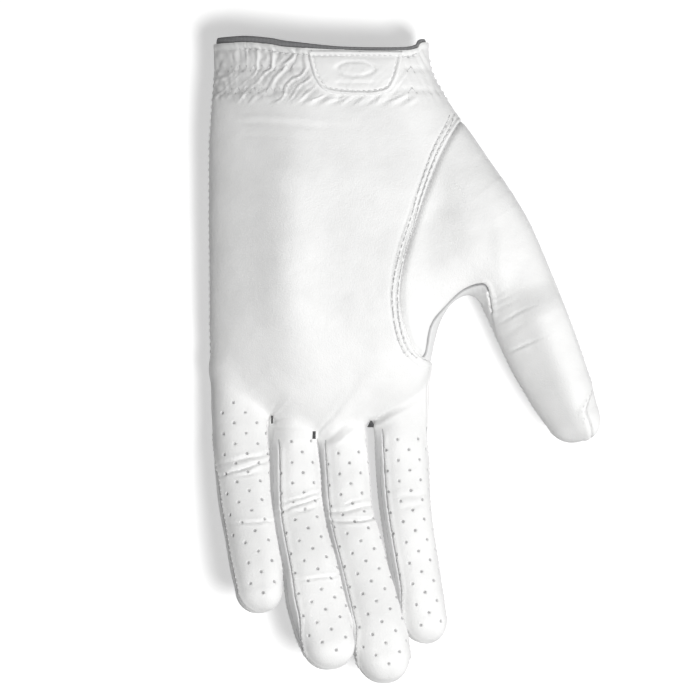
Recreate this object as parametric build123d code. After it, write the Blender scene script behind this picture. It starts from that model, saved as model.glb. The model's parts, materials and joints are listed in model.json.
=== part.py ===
"""Left-hand golf glove, lying on its back with the palm up, as an assembly of its cut and sewn pieces.

Frame, in millimetres: +Z out of the palm, +Y towards the cuff, +X towards the thumb.
The origin is in the flat on which the back of the hand rests, under the middle of the palm.
Each stall (finger or thumb tube) is two straight tubes that hinge at the knuckle and at the middle joint.
"""

from build123d import *
import math
import os

# ---- leather and sewing ----
WALL = 0.7  # leather thickness
SPLIT = 0.5  # gap between two tubes at a hinge
HINGE_DEPTH = 2.0  # a hinge line lies this far under the palm-side skin
SIDE_STRIP = 4.2  # half height of a side strip (fourchette) between two fingers
STRIP_ROLL = -18.0  # the strips and the front panel sit turned this far about a finger's axis, in degrees
NOTCH_SPARE = 2.0  # a hinge's notch opens this much more than its bend needs, in degrees on each side
OUTER_NOTCH_WIDTH = 24.0  # width of the notch at the knuckles of the little and the index finger
THUMB_BOX = 44.0  # a box round the thumb's knuckle that holds all of it and nothing else
CAP = 9.0  # length of a rounded stall tip
BIG = 200.0  # larger than the glove, for half spaces

# ---- hand body: station Y, centre X, width, lowest Z, highest Z ----
HAND_STATIONS = [
    (75.0, -1.0, 76.0, 4.6, 31.0),
    (46.0, -0.5, 79.0, 4.2, 32.2),
    (24.0, -1.0, 79.0, -0.15, 33.0),
    (-20.0, -1.2, 77.5, -0.15, 31.0),
    (-50.0, -1.6, 75.5, -0.15, 26.5),
    (-68.0, -2.0, 74.0, 2.0, 23.0),
]
CUFF_Y = HAND_STATIONS[0][0]
HAND_ROUND = 0.47  # edge radius as a share of the height
SIDE_SEAM_Z = 15.6  # height of the seam between palm and back at Y = 0
SIDE_SEAM_SLOPE = 0.035  # and how it climbs towards the cuff

# ---- ball of the thumb: centre, direction, width, height ----
THUMB_ROOT_STATIONS = [
    ((18.0, 14.0, 16.5), (1.0, 0.0, 0.0), 80.0, 26.0),
    ((38.0, 14.0, 16.5), (1.0, 0.0, 0.0), 84.0, 25.0),
    ((55.8, 4.6, 17.5), (0.917, -0.4, 0.0), 41.0, 22.0),
    ((66.0, -9.5, 18.0), (0.374, -0.927, 0.0), 27.2, 20.0),
]
THUMB_ROOT_ROUND = 0.46

# ---- stalls ----
# points: knuckle, middle joint, tip
# half widths and half depths: at the knuckle, middle joint, belly, and where the tip's rounding starts
STALLS = {
    "little": {
        "points": [(-29.6, -59.5, 15.5), (-29.0, -75.3, 17.0), (-23.4, -124.6, 31.0)],
        "half_widths": (9.0, 8.9, 8.4, 6.9),
        "half_depths": (7.8, 7.8, 7.7, 6.4),
        "strips": ("inner",),
    },
    "ring": {
        "points": [(-11.4, -62.0, 13.5), (-10.4, -87.5, 15.0), (1.9, -144.6, 29.0)],
        "half_widths": (7.7, 7.8, 8.8, 8.4),
        "half_depths": (8.0, 8.1, 8.2, 7.0),
        "strips": ("inner", "outer"),
    },
    "middle": {
        "points": [(5.9, -63.4, 12.0), (7.4, -90.7, 13.5), (22.0, -150.0, 25.0)],
        "half_widths": (8.6, 7.9, 8.2, 8.6),
        "half_depths": (8.2, 8.3, 8.3, 7.2),
        "strips": ("inner", "outer"),
    },
    "index": {
        "points": [(26.3, -60.6, 11.0), (27.3, -83.0, 11.5), (35.3, -136.2, 16.0)],
        "half_widths": (9.4, 8.9, 8.2, 7.4),
        "half_depths": (8.3, 8.3, 8.1, 6.9),
        "strips": ("outer",),
    },
    "thumb": {
        "points": [(66.0, -9.5, 18.0), (74.6, -30.8, 19.0), (91.0, -65.1, 21.0)],
        "half_widths": (13.4, 13.0, 12.0, 9.8),
        "half_depths": (9.8, 9.7, 9.3, 8.2),
        "strips": (),
    },
}
BELLY = 0.58  # where a stall's end is fullest, as a share of the way to its tip's shoulder
KNUCKLE_BEND = 65.0  # how far a finger folds at the knuckle, in degrees
MIDDLE_BEND = 75.0  # and at the middle joint
THUMB_KNUCKLE_BEND = 25.0
THUMB_MIDDLE_BEND = 40.0
THUMB_PAD = (-0.69, -0.30, 0.66)  # the way the thumb's pad faces, and folds

# ---- seam of the thumb piece on the palm, from the cuff side to the web ----
THUMB_SEAM = [(46.5, 45.0), (36.8, 24.5), (29.8, 8.0), (26.2, -12.0), (28.0, -28.0), (36.0, -35.0)]
WEB_CENTRE, WEB_TURN = (44.0, -22.0), 32.0  # middle of the gusset in the web of the thumb, and its turn in degrees
WEB_LENGTH, WEB_WIDTH, WEB_HEIGHT = 46.0, 17.0, 6.4

# ---- cuff, closure and trims ----
BINDING_OUT = 0.5  # binding thickness
BINDING_DEEP = 3.0  # how far the binding reaches down from the edge
SLIT_X, SLIT_MOUTH, SLIT_LENGTH = -2.0, 9.0, 40.0
SLIT_BINDING = 2.6
TAB_HINGE_X, TAB_TIP_X = 18.0, -31.0
TAB_LOW_Y, TAB_HIGH_Y = 48.0, 71.5
TAB_ANCHOR = 11.0  # length of the sewn root of the tab
LAYERS = {  # offset outwards from the back of the hand, inner and outer face
    "loop_patch": (0.0, 0.8),
    "hook_patch": (0.85, 1.4),
    "tab_lining": (1.4, 1.85),
    "tab_leather": (1.85, 2.5),
}
ELASTIC_ROWS = {"upper": (67.5, 4.0), "lower": (57.5, 5.0)}  # middle Y and width
ELASTIC_THICK = 0.8
ELASTIC_HALF_SPAN = 31.0
LABEL_X, LABEL_Y = (9.0, 23.0), (57.0, 69.0)  # the blank label sewn inside the cuff
LABEL_THICK = 0.4
PATCH_X, PATCH_TOP, PATCH_BOTTOM = (-6.5, 27.0), 71.8, 55.4
PATCH_NARROWS = (7.0, 3.0)  # how much narrower the patch is at its foot, on each side
PATCH_CORNER = 5.0
PATCH_THICK = 0.6
TACK_WIDTH, TACK_LENGTH, TACK_HEIGHT = 1.0, 3.4, 7.0  # bar tacks in the forks between the fingers
TACK_BACK = 2.6  # how far a tack lies behind the knuckles


def above(z):
    """Everything higher than z."""
    return Pos(0, 0, z) * Box(2 * BIG, 2 * BIG, BIG, align=(Align.CENTER, Align.CENTER, Align.MIN))


def rounded_section(plane, width, height, share, grow):
    """A rounded rectangle in a plane, grown on every side."""
    radius = share * height + grow
    return plane * RectangleRounded(width + 2 * grow, height + 2 * grow, radius)


def hand_form(grow=0.0, overrun=0.0):
    """The hand without its stalls, as a solid form. overrun lengthens it past both ends."""
    stations = list(HAND_STATIONS)
    first, last = stations[0], stations[-1]
    if overrun:
        stations = [(first[0] + overrun, *first[1:])] + stations
        stations += [(last[0] - overrun, *last[1:])]
    sections = []
    for y, x, width, low, high in stations:
        plane = Plane((x, y, (low + high) / 2), x_dir=(1, 0, 0), z_dir=(0, 1, 0))
        sections.append(rounded_section(plane, width, high - low, HAND_ROUND, grow))
    return loft(sections, ruled=True)


def thumb_root_form(grow=0.0, overrun=0.0):
    """The ball of the thumb as a solid form, from inside the palm to the thumb's knuckle."""
    sections = []
    for centre, direction, width, height in THUMB_ROOT_STATIONS:
        across = Vector(*direction).cross(Vector(0, 0, 1))
        plane = Plane(centre, x_dir=across, z_dir=direction)
        sections.append(rounded_section(plane, width, height, THUMB_ROOT_ROUND, grow))
    if overrun:
        centre, direction, width, height = THUMB_ROOT_STATIONS[-1]
        past = Vector(*centre) + overrun * Vector(*direction).normalized()
        across = Vector(*direction).cross(Vector(0, 0, 1))
        plane = Plane(past, x_dir=across, z_dir=direction)
        sections.append(rounded_section(plane, width, height, THUMB_ROOT_ROUND, grow))
    return loft(sections, ruled=True)


def stall_frames(name):
    """The planes at the knuckle and at the middle joint: X across, Y to the pad side, Z along."""
    knuckle, middle, tip = (Vector(*p) for p in STALLS[name]["points"])
    frames = []
    for start, end in ((knuckle, middle), (middle, tip)):
        along = (end - start).normalized()
        across = Vector(-along.Y, along.X, 0).normalized()
        frames.append((Plane(start, x_dir=across, z_dir=along), (end - start).length))
    return frames


def ellipse_tube(stations, grow):
    """A ruled tube through ellipses: height, half width, half depth."""
    sections = [Pos(0, 0, z) * Ellipse(a + grow, b + grow) for z, a, b in stations]
    return loft(sections, ruled=True)


def tip_stations(length, half_widths, half_depths, grow):
    """Stations of a finger end from its middle joint to the rounded tip."""
    (a0, a1, a2), (b0, b1, b2) = half_widths, half_depths
    shoulder = length - CAP
    stations = [(0.0, a0, b0), (BELLY * shoulder, a1, b1), (shoulder, a2, b2)]
    for degrees in (28, 50, 68, 80):
        turn = math.radians(degrees)
        rise, fall = (CAP + grow) * math.sin(turn), math.cos(turn)
        stations.append((shoulder + rise, (a2 + grow) * fall - grow, (b2 + grow) * fall - grow))
    return stations


def notch(pad_normal, depth, half_angle, side):
    """The wedge that opens a hinge on its pad side, in the hinge's own frame. side is 1 or -1 along Z."""
    reach, past_hinge = 14.0, 2.0
    foot = side * SPLIT / 2
    spread = side * (SPLIT / 2 + reach * math.tan(math.radians(half_angle)))
    near = -side * past_hinge
    outline = Polyline((0, foot), (0, near), (reach, near), (reach, spread), close=True)
    wedge = extrude(Plane.YZ * make_face(outline), amount=40, both=True)
    turn = math.degrees(math.atan2(-pad_normal[0], pad_normal[1]))
    return Rot(0, 0, turn) * Pos(0, depth, 0) * wedge


def hinge_of(name, joint):
    """(frame, pad direction in that frame, hinge depth from the centre, bend) of a stall's joint 0 or 1."""
    frame, _ = stall_frames(name)[joint]
    a, b = STALLS[name]["half_widths"][joint], STALLS[name]["half_depths"][joint]
    pad = (0.0, 1.0)
    bend = (KNUCKLE_BEND, MIDDLE_BEND)[joint]
    if name == "thumb":
        pad_vector = Vector(*THUMB_PAD)
        pad = (pad_vector.dot(frame.x_dir), pad_vector.dot(frame.y_dir))
        size = math.hypot(*pad)
        pad = (pad[0] / size, pad[1] / size)
        bend = (THUMB_KNUCKLE_BEND, THUMB_MIDDLE_BEND)[joint]
    skin = 1 / math.hypot(pad[0] / a, pad[1] / b)
    return frame, pad, skin - HINGE_DEPTH, bend


def side_wedge(side, low, high, low_half, high_half):
    """The prism that holds a side strip: side 1 is the thumb's side, and it narrows from low to high."""
    outline = Polyline(
        (-low_half, low), (low_half, low), (high_half, high), (-high_half, high), close=True
    )
    return extrude(Plane.YZ * make_face(outline), amount=side * 40)


def cut_strips(tube, frame, strips, low, high, high_half):
    """Cuts a tube into its front, back and side strips, and puts them in place."""
    found = {}
    rest = tube
    roll = Rot(0, 0, STRIP_ROLL if strips else 0)
    for side_name in strips:
        side = 1 if side_name == "inner" else -1
        wedge = roll * side_wedge(side, low, high, SIDE_STRIP, high_half)
        found[f"{side_name}_strip"] = rest & wedge
        rest = rest - wedge
    upper = roll * Box(2 * BIG, BIG, 2 * BIG, align=(Align.CENTER, Align.MIN, Align.CENTER))
    found["front"] = rest & upper
    found["back"] = rest - upper
    return {key: frame.location * piece for key, piece in found.items()}


def stall_pieces(name):
    """Every leather piece of one stall: {segment: {piece: solid}}."""
    spec = STALLS[name]
    (base, base_length), (end, end_length) = stall_frames(name)
    widths, depths = spec["half_widths"], spec["half_depths"]
    start = SPLIT / 2
    overrun = 10.0
    shapes = []
    for grow in (0.0, -WALL):
        low = start if grow == 0.0 else -overrun
        stations = [(low, widths[0], depths[0]), (base_length, widths[1], depths[1])]
        stations.append((base_length + overrun, widths[1], depths[1]))
        shapes.append(ellipse_tube(stations, grow))
    tube = shapes[0] - shapes[1]
    _, pad, depth, bend = hinge_of(name, 0)
    tube = tube - notch(pad, depth, bend / 2 + NOTCH_SPARE, 1)
    # the far end of the base tube follows the plane of the middle joint
    to_end = base.location.inverse() * end.location
    beyond = Pos(0, 0, -start) * Box(BIG, BIG, BIG, align=(Align.CENTER, Align.CENTER, Align.MIN))
    _, pad, depth, bend = hinge_of(name, 1)
    tube = tube - to_end * beyond - to_end * notch(pad, depth, bend / 2 + NOTCH_SPARE, -1)
    pieces = {"base": cut_strips(tube, base, spec["strips"], -1.0, base_length + overrun, SIDE_STRIP)}

    outer_stations = tip_stations(end_length, widths[1:], depths[1:], 0.0)
    inner_stations = tip_stations(end_length, widths[1:], depths[1:], -WALL)
    outer = ellipse_tube(outer_stations, 0.0) & above(start)
    inner = ellipse_tube([(-2.0, widths[1], depths[1])] + inner_stations, -WALL)
    tube = outer - inner - notch(pad, depth, bend / 2 + NOTCH_SPARE, 1)
    pieces["end"] = cut_strips(tube, end, spec["strips"], -1.0, end_length - 0.8 * CAP, 0.9)
    return pieces


def hand_shell():
    """The leather skin of the hand and the ball of the thumb, open at the cuff and at every stall."""
    shell = (hand_form() & above(0.0)) + thumb_root_form()
    shell = shell - hand_form(-WALL, 5.0) - thumb_root_form(-WALL, 5.0)
    names = ["little", "ring", "middle", "index"]
    centres = [STALLS[n]["points"][0][0] for n in names]
    middles = [(p + q) / 2 for p, q in zip(centres, centres[1:])]
    edges = [-BIG] + middles + [BIG]
    for k, name in enumerate(names):
        frame, pad, depth, bend = hinge_of(name, 0)
        low, high = edges[k] - SPLIT, edges[k + 1] + SPLIT
        y = frame.origin.Y + SPLIT / 2
        past = Pos((low + high) / 2, y - BIG / 2, 0) * Box(high - low, BIG, BIG)
        width = min(high - low, OUTER_NOTCH_WIDTH)
        slot = notch(pad, depth, bend / 2 + NOTCH_SPARE, -1) & Box(width, BIG, BIG)
        shell = shell - past - frame.location * slot
    frame, pad, depth, bend = hinge_of("thumb", 0)
    around = Align.CENTER
    past = Pos(0, 0, -SPLIT / 2) * Box(THUMB_BOX, THUMB_BOX, THUMB_BOX, align=(around, around, Align.MIN))
    slot = notch(pad, depth, bend / 2 + NOTCH_SPARE, -1) & Box(THUMB_BOX, THUMB_BOX, THUMB_BOX)
    return shell - frame.location * past - frame.location * slot


def prism(points, low, high):
    """An upright prism over a closed outline."""
    return Pos(0, 0, low) * extrude(make_face(Polyline(*points, close=True)), amount=high - low)


def side_seam_half():
    """Everything on the palm side of the side seam."""
    half = Box(2 * BIG, 2 * BIG, BIG, align=(Align.CENTER, Align.CENTER, Align.MIN))
    return Pos(0, 0, SIDE_SEAM_Z) * Rot(math.degrees(math.atan(SIDE_SEAM_SLOPE)), 0, 0) * half


def thumb_piece_region():
    """Everything on the thumb's side of the seam of the thumb piece."""
    seam = Spline(*THUMB_SEAM)
    first, last = seam @ 0, seam @ 1
    far = Polyline((last.X, last.Y), (last.X + 30, last.Y - 25), (BIG, last.Y - 25), (BIG, first.Y + 40))
    far_back = Polyline((BIG, first.Y + 40), (first.X + 40, first.Y + 40), (first.X, first.Y))
    face = make_face([*seam.edges(), *far.edges(), *far_back.edges()])
    return Pos(0, 0, -10) * extrude(face, amount=60)


def slit_outline(margin=0.0):
    """The V of the back slit, as points, from the cuff down."""
    half, foot = SLIT_MOUTH / 2 + margin, CUFF_Y - SLIT_LENGTH - 1.5 * margin
    top = CUFF_Y + 3.0
    return [(SLIT_X - half, top), (SLIT_X + half, top), (SLIT_X + 0.8 + margin, foot), (SLIT_X - 0.8 - margin, foot)]


def hand_pieces():
    """The leather panels that stay with the hand."""
    shell = hand_shell()
    palm_side = side_seam_half()
    region = thumb_piece_region()
    web = Pos(*WEB_CENTRE, SIDE_SEAM_Z) * Rot(0, 0, WEB_TURN) * Box(WEB_LENGTH, WEB_WIDTH, WEB_HEIGHT)
    front, back = shell & palm_side, shell - palm_side
    thumb_front, thumb_back = front & region, back & region
    gusset = (thumb_front + thumb_back) & web
    return {
        "palm_leather": largest(front - region),
        "back_leather": largest(back - region - prism(slit_outline(), -5, 12)),
        "thumb_piece_front": thumb_front - web,
        "thumb_piece_back": thumb_back - web,
        "thumb_web_gusset": gusset,
    }


def largest(shape):
    """The biggest solid of a shape, without the crumbs of a cut."""
    return max(shape.solids(), key=lambda s: s.volume)


def layer(inner, outer, region):
    """The part of a thin layer over the hand that lies in a region."""
    return (hand_form(outer) - hand_form(inner)) & region


def tab_region(low_x, high_x, inset=0.0):
    """Outline of the closure tab between two X, with a round free end where it reaches the tip."""
    low_y, high_y = TAB_LOW_Y + inset, TAB_HIGH_Y - inset
    middle_y, radius = (low_y + high_y) / 2, (high_y - low_y) / 2
    block = Pos((low_x + high_x) / 2, middle_y, 0) * Box(high_x - low_x, 2 * radius, 24)
    if low_x <= TAB_TIP_X + inset:
        corner = block.edges().filter_by(Axis.Z).group_by(Axis.X)[0]
        block = fillet(corner, 0.8 * radius)
    return block


def trims():
    """Binding, elastics, patch, slit binding and the parts of the closure."""
    palm_side = side_seam_half()
    edge = Pos(0, CUFF_Y - BINDING_DEEP / 2 + BINDING_OUT / 2, 0) * Box(BIG, BINDING_DEEP + BINDING_OUT, BIG)
    body = Pos(0, CUFF_Y - BIG / 2, 0) * Box(BIG, BIG, BIG)
    ring = hand_form(BINDING_OUT, 5.0) - hand_form(-WALL - BINDING_OUT, 6.0)
    skin = (hand_form(0.0, 5.0) - hand_form(-WALL, 6.0)) & body
    binding = (ring & edge) - skin
    slit = prism(slit_outline(), -5, 12)
    found = {"cuff_binding_front": binding & palm_side}
    back_binding = sorted((binding - palm_side - slit).solids(), key=lambda s: s.center().X)
    found["cuff_binding_back_outer"], found["cuff_binding_back_inner"] = back_binding[0], back_binding[-1]

    below = Box(BIG, BIG, 30, align=(Align.CENTER, Align.CENTER, Align.MAX))
    low_side = Pos(0, 0, SIDE_SEAM_Z - 2) * below
    rim = prism(slit_outline(SLIT_BINDING), -5, 12) - slit
    rim = rim & Pos(0, CUFF_Y - BINDING_DEEP - 0.05 - BIG / 2, 0) * Box(BIG, BIG, BIG)
    found["slit_binding"] = layer(-WALL - 0.45, -WALL, rim & low_side)

    inner, outer = LAYERS["loop_patch"]
    patch_edge = SLIT_X - SLIT_MOUTH / 2 - SLIT_BINDING
    region = tab_region(TAB_TIP_X + 1, patch_edge, 1.2) & low_side
    found["loop_patch"] = largest(layer(inner, outer, region))
    inner, outer = LAYERS["hook_patch"]
    found["hook_patch"] = largest(layer(inner, outer, tab_region(TAB_TIP_X + 3, patch_edge - 1, 2.5) & low_side))
    inner, outer = LAYERS["tab_lining"]
    found["tab_lining"] = largest(layer(inner, outer, tab_region(TAB_TIP_X, TAB_HINGE_X - 0.5, 0.3) & low_side))
    inner, outer = LAYERS["tab_leather"]
    found["tab_leather"] = largest(layer(inner, outer, tab_region(TAB_TIP_X, TAB_HINGE_X - 0.25) & low_side))
    anchor = tab_region(TAB_HINGE_X + 0.25, TAB_HINGE_X + TAB_ANCHOR)
    found["tab_anchor"] = largest(layer(0.0, 2 * WALL, anchor & low_side))

    for name, (middle, width) in ELASTIC_ROWS.items():
        band = Pos(0, middle, SIDE_SEAM_Z + 20) * Box(2 * ELASTIC_HALF_SPAN, width, 32)
        found[f"wrist_elastic_{name}"] = layer(-WALL - ELASTIC_THICK, -WALL, band)

    (x0, x1), (y0, y1) = LABEL_X, LABEL_Y
    label = prism([(x0, y0), (x1, y0), (x1, y1), (x0, y1)], -5, SIDE_SEAM_Z)
    found["size_label"] = layer(-WALL - LABEL_THICK, -WALL, label)

    (left, right), top, bottom = PATCH_X, PATCH_TOP, PATCH_BOTTOM
    foot = (left + PATCH_NARROWS[0], right - PATCH_NARROWS[1])
    sheet = prism([(left, top), (right, top), (foot[1], bottom), (foot[0], bottom)], 22, 45)
    corners = sheet.edges().filter_by(Axis.Z).group_by(Axis.Y)[0]
    found["wrist_patch"] = largest(layer(0.0, PATCH_THICK, fillet(corners, PATCH_CORNER)))
    return found


def crotch_tacks():
    """The small bar tacks that close the forks between the fingers."""
    names = ["little", "ring", "middle", "index"]
    tacks = []
    for left, right in zip(names, names[1:]):
        (xl, yl, zl), (xr, yr, zr) = STALLS[left]["points"][0], STALLS[right]["points"][0]
        x = (xl + STALLS[left]["half_widths"][0] + xr - STALLS[right]["half_widths"][0]) / 2
        place = Pos(x, max(yl, yr) + TACK_BACK, (zl + zr) / 2)
        tacks.append(place * Box(TACK_WIDTH, TACK_LENGTH, TACK_HEIGHT))
    return Compound(children=tacks)


def main():
    os.makedirs("parts", exist_ok=True)
    nodes = {**hand_pieces(), **trims(), "crotch_tacks": crotch_tacks()}
    for name in STALLS:
        for segment, pieces in stall_pieces(name).items():
            for piece, solid in pieces.items():
                nodes[f"{name}_{segment}_{piece}"] = solid
    for name, shape in nodes.items():
        export_step(shape, f"parts/{name}.step")
    for name in STALLS:
        for joint, word in enumerate(("knuckle", "middle_joint")):
            frame, pad, depth, bend = hinge_of(name, joint)
            pad_vector = pad[0] * frame.x_dir + pad[1] * frame.y_dir
            place = frame.origin + depth * pad_vector
            axis = frame.z_dir.cross(pad_vector)
            numbers = [round(v, 4) for v in (*place, *axis, bend)]
            print("hinge", f"{name}_{word}", *numbers)


main()
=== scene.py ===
"""Looks of a white leather golf glove, left hand, palm up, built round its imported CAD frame.

The leather is one smooth hand form, given by a distance function in millimetres. It is meshed, cut along
the seams into the panels of a real glove, given the leather's thickness, and sewn with modelled stitches.
Frame: +Z out of the palm, +Y towards the cuff, +X towards the thumb. Lengths are in millimetres until the
meshes are made, in metres.
"""

import json
import math

import bpy
import numpy as np
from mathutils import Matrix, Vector


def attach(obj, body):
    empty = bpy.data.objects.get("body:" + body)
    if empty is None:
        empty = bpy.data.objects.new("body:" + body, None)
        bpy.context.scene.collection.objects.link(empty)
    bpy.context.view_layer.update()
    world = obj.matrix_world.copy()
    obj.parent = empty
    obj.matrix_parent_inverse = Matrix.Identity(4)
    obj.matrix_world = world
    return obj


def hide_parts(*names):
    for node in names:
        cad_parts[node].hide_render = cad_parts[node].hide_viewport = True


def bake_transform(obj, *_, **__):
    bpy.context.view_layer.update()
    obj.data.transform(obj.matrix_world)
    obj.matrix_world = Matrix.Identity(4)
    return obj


MM = 0.001
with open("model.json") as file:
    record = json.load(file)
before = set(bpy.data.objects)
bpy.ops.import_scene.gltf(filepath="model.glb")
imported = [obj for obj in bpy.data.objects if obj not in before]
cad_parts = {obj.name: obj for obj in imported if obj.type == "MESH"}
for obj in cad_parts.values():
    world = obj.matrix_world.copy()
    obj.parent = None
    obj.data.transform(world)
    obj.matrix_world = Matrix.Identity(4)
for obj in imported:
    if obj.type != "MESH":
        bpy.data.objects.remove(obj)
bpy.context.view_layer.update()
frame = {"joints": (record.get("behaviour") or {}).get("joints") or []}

# ---- leather and sewing ----
SKIN = 0.8  # leather thickness
GRID = 1.1  # spacing of the lattice that the form is meshed on
SNAP = 0.08  # a vertex this close to a seam counts as on it
SEAM_HALF = 0.42  # half width of the cleft at a seam
STITCH_PITCH, STITCH_LENGTH, THREAD = 2.45, 1.6, 0.2
PIT_ROWS, PIT_COLUMNS = 7.3, 3.75  # spacing of the perforations along and across a finger

# ---- the hand: Y, centre X, half width, lowest Z, highest Z ----
HAND = [
    (90.0, -1.4, 37.4, 5.05, 31.0),
    (75.0, -1.4, 37.4, 5.05, 31.0),
    (62.0, -1.0, 37.6, 4.85, 31.4),
    (50.0, -0.8, 38.8, 4.65, 32.2),
    (36.0, -1.0, 39.4, 2.2, 32.8),
    (20.0, -1.2, 39.2, 0.55, 33.0),
    (-15.0, -0.9, 39.3, 0.55, 31.4),
    (-33.0, -1.2, 38.7, 0.55, 29.0),
    (-48.0, -2.0, 37.7, 1.05, 25.8),
    (-62.0, -2.4, 36.8, 2.05, 23.4),
]
TOP_LEFT, TOP_RIGHT, UNDERSIDE = 2.0, 2.7, 3.6  # how square the hand's section is: 2 is an ellipse
# X and Y of the palm's end in the forks of the fingers, and how far back it starts to round off
HAND_END = [(-38.0, -56.5), (-30.0, -59.5), (-18.4, -58.6), (-11.0, -62.0), (-3.6, -63.2), (6.0, -62.5),
            (16.6, -59.8), (27.0, -60.0), (35.0, -56.0)]
HAND_END_ROUND = 16.0
SIDE_SEAM = (15.6, 0.035)  # height of the seam between palm and back at Y = 0, and its slope

# ---- stalls: X, Y, Z, half width, half depth along the centre line; roll of the front in degrees; length
# of the round tip; where the stall starts past its knuckle; which sides have a strip ----
STALLS = {
    "little": {
        "line": [(-30.2, -40, 14.0, 9.7, 7.3), (-30.0, -52, 14.8, 9.7, 7.6), (-29.7, -62, 15.8, 9.5, 7.9),
                 (-29.2, -75, 17.2, 9.2, 8.0), (-28.3, -86, 20.0, 8.7, 8.0), (-26.4, -97, 23.2, 8.6, 7.9),
                 (-24.5, -108, 26.3, 8.5, 7.6), (-23.3, -117, 29.0, 7.7, 6.9)],
        "roll": 16, "cap": 7.8, "start": 0.2, "strips": ("inner",),
    },
    "ring": {
        "line": [(-12.4, -45, 12.5, 6.0, 6.0), (-11.3, -63, 13.8, 7.8, 8.1), (-10.6, -86, 15.0, 8.2, 8.3),
                 (-8.7, -98, 17.9, 8.6, 8.4), (-5.7, -110, 20.8, 9.3, 8.4), (-3.6, -121, 23.5, 9.9, 8.3),
                 (-0.9, -130, 25.6, 9.7, 7.8), (0.7, -135.5, 27.0, 8.9, 7.3)],
        "roll": 22, "cap": 9.0, "start": 2.8, "strips": ("inner", "outer"),
    },
    "middle": {
        "line": [(4.4, -45, 11.5, 6.5, 6.0), (6.0, -65, 12.3, 8.4, 8.3), (7.6, -89, 13.6, 8.3, 8.5),
                 (10.6, -101, 15.6, 8.8, 8.5), (13.1, -111, 17.6, 8.8, 8.5), (15.8, -121, 19.6, 9.1, 8.4),
                 (18.4, -131, 21.6, 9.3, 8.1), (20.0, -139.5, 23.2, 9.2, 7.5)],
        "roll": 14, "cap": 10.0, "start": 1.4, "strips": ("inner", "outer"),
    },
    "index": {
        "line": [(27.0, -40, 11.0, 9.8, 7.6), (26.8, -52, 11.0, 9.6, 8.0), (26.5, -62, 11.0, 9.3, 8.3),
                 (27.4, -84, 11.6, 8.9, 8.4), (29.4, -100, 12.9, 8.4, 8.3), (32.4, -118, 14.5, 8.2, 8.0),
                 (34.4, -127, 15.3, 7.7, 7.3)],
        "roll": 18, "cap": 9.2, "start": 0.1, "strips": ("outer",),
    },
    "thumb": {
        "line": [(16, 60, 15.6, 13.0, 9.5), (26.5, 46, 15.6, 17.3, 10.3), (40.5, 26.5, 15.8, 17.8, 12.0),
                 (52, 14, 17.0, 15.6, 12.0), (59.5, 3.0, 17.6, 14.4, 11.2), (66, -9.5, 18.0, 13.4, 10.2),
                 (71, -21, 18.6, 13.1, 10.0), (76.0, -33, 19.1, 12.6, 9.8), (82.2, -47, 19.8, 11.3, 9.3),
                 (86.7, -56.4, 20.3, 9.2, 8.6)],
        "roll": -12, "cap": 9.0, "start": 0.0, "strips": (),
    },
}
FINGERS = ["little", "ring", "middle", "index"]
WEB_LINES = [  # the web between thumb and palm: its free edge, and the flesh behind it
    [(27.5, -25, 15.0, 9.6, 10.5), (33.5, -17.5, 15.5, 8.2, 10.8), (40.5, -9.5, 16.2, 8.0, 11.0),
     (49.5, -3.6, 17.0, 9.6, 10.8), (60.0, -2.0, 17.4, 10.5, 10.5)],
    [(24.0, -12, 15.6, 12.0, 11.0), (36.0, -1, 16.0, 12.0, 11.2), (50.0, 7, 16.8, 12.0, 11.4)],
]
WEB_CAP = 7.0  # length of the round ends of the web's tubes
FORK_BLEND, THUMB_BLEND, WEB_BLEND = 3.0, 9.0, 6.0  # how softly finger, thumb and web run into the palm
BACK_BLEND = 2.5  # how softly the thumb runs into the back of the hand, where the tab lies flat
BLEND_HEIGHTS = (7, 18)  # between these heights the thumb's blend grows from the back's to the palm's
STRIP_HALF_ANGLE = math.radians(33)
THUMB_TIP_TURN = 1.0  # how far the thumb's outer seam climbs on to the front near the tip, in radians
# how far the seam between front and back lies below a stall's side: degrees at its root, and further on
FRONT_SEAM_TURN = {"little": (33.0, -14.0), "index": (-35.0, -10.0), "ring": (0.0, 0.0),
                   "middle": (0.0, 0.0), "thumb": (8.0, 0.0)}
# sides on which a stall's front meets its back without a strip, 1 being the thumb's side
PLAIN_SIDES = {"little": (-1,), "ring": (), "middle": (), "index": (1,), "thumb": (-1, 1)}
SPLIT_SHARE = 0.55  # where a stall's base piece ends, as a share of the way to its middle joint
BEND_REACH = 8.5  # the leather bends this far each side of a middle joint

# ---- seams on the palm, X and Y ----
THUMB_SEAM = [(50.0, 49.5), (46.2, 44.8), (40.2, 34.3), (33.2, 16.5), (28.0, 0.0), (26.1, -14.0),
              (27.6, -25.0), (31.0, -33.0), (36.4, -37.0), (46.0, -40.0)]
THUMB_STITCHES = (1.75, 3.5)  # how far from the thumb seam its two rows of stitches run, on the palm's side
WEB_SEAM = [(33.0, -42.0), (35.2, -33.0), (36.8, -24.5), (41.0, -18.6), (47.2, -12.8), (53.4, -10.4),
            (56.4, -11.8), (58.2, -20.0)]

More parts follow.
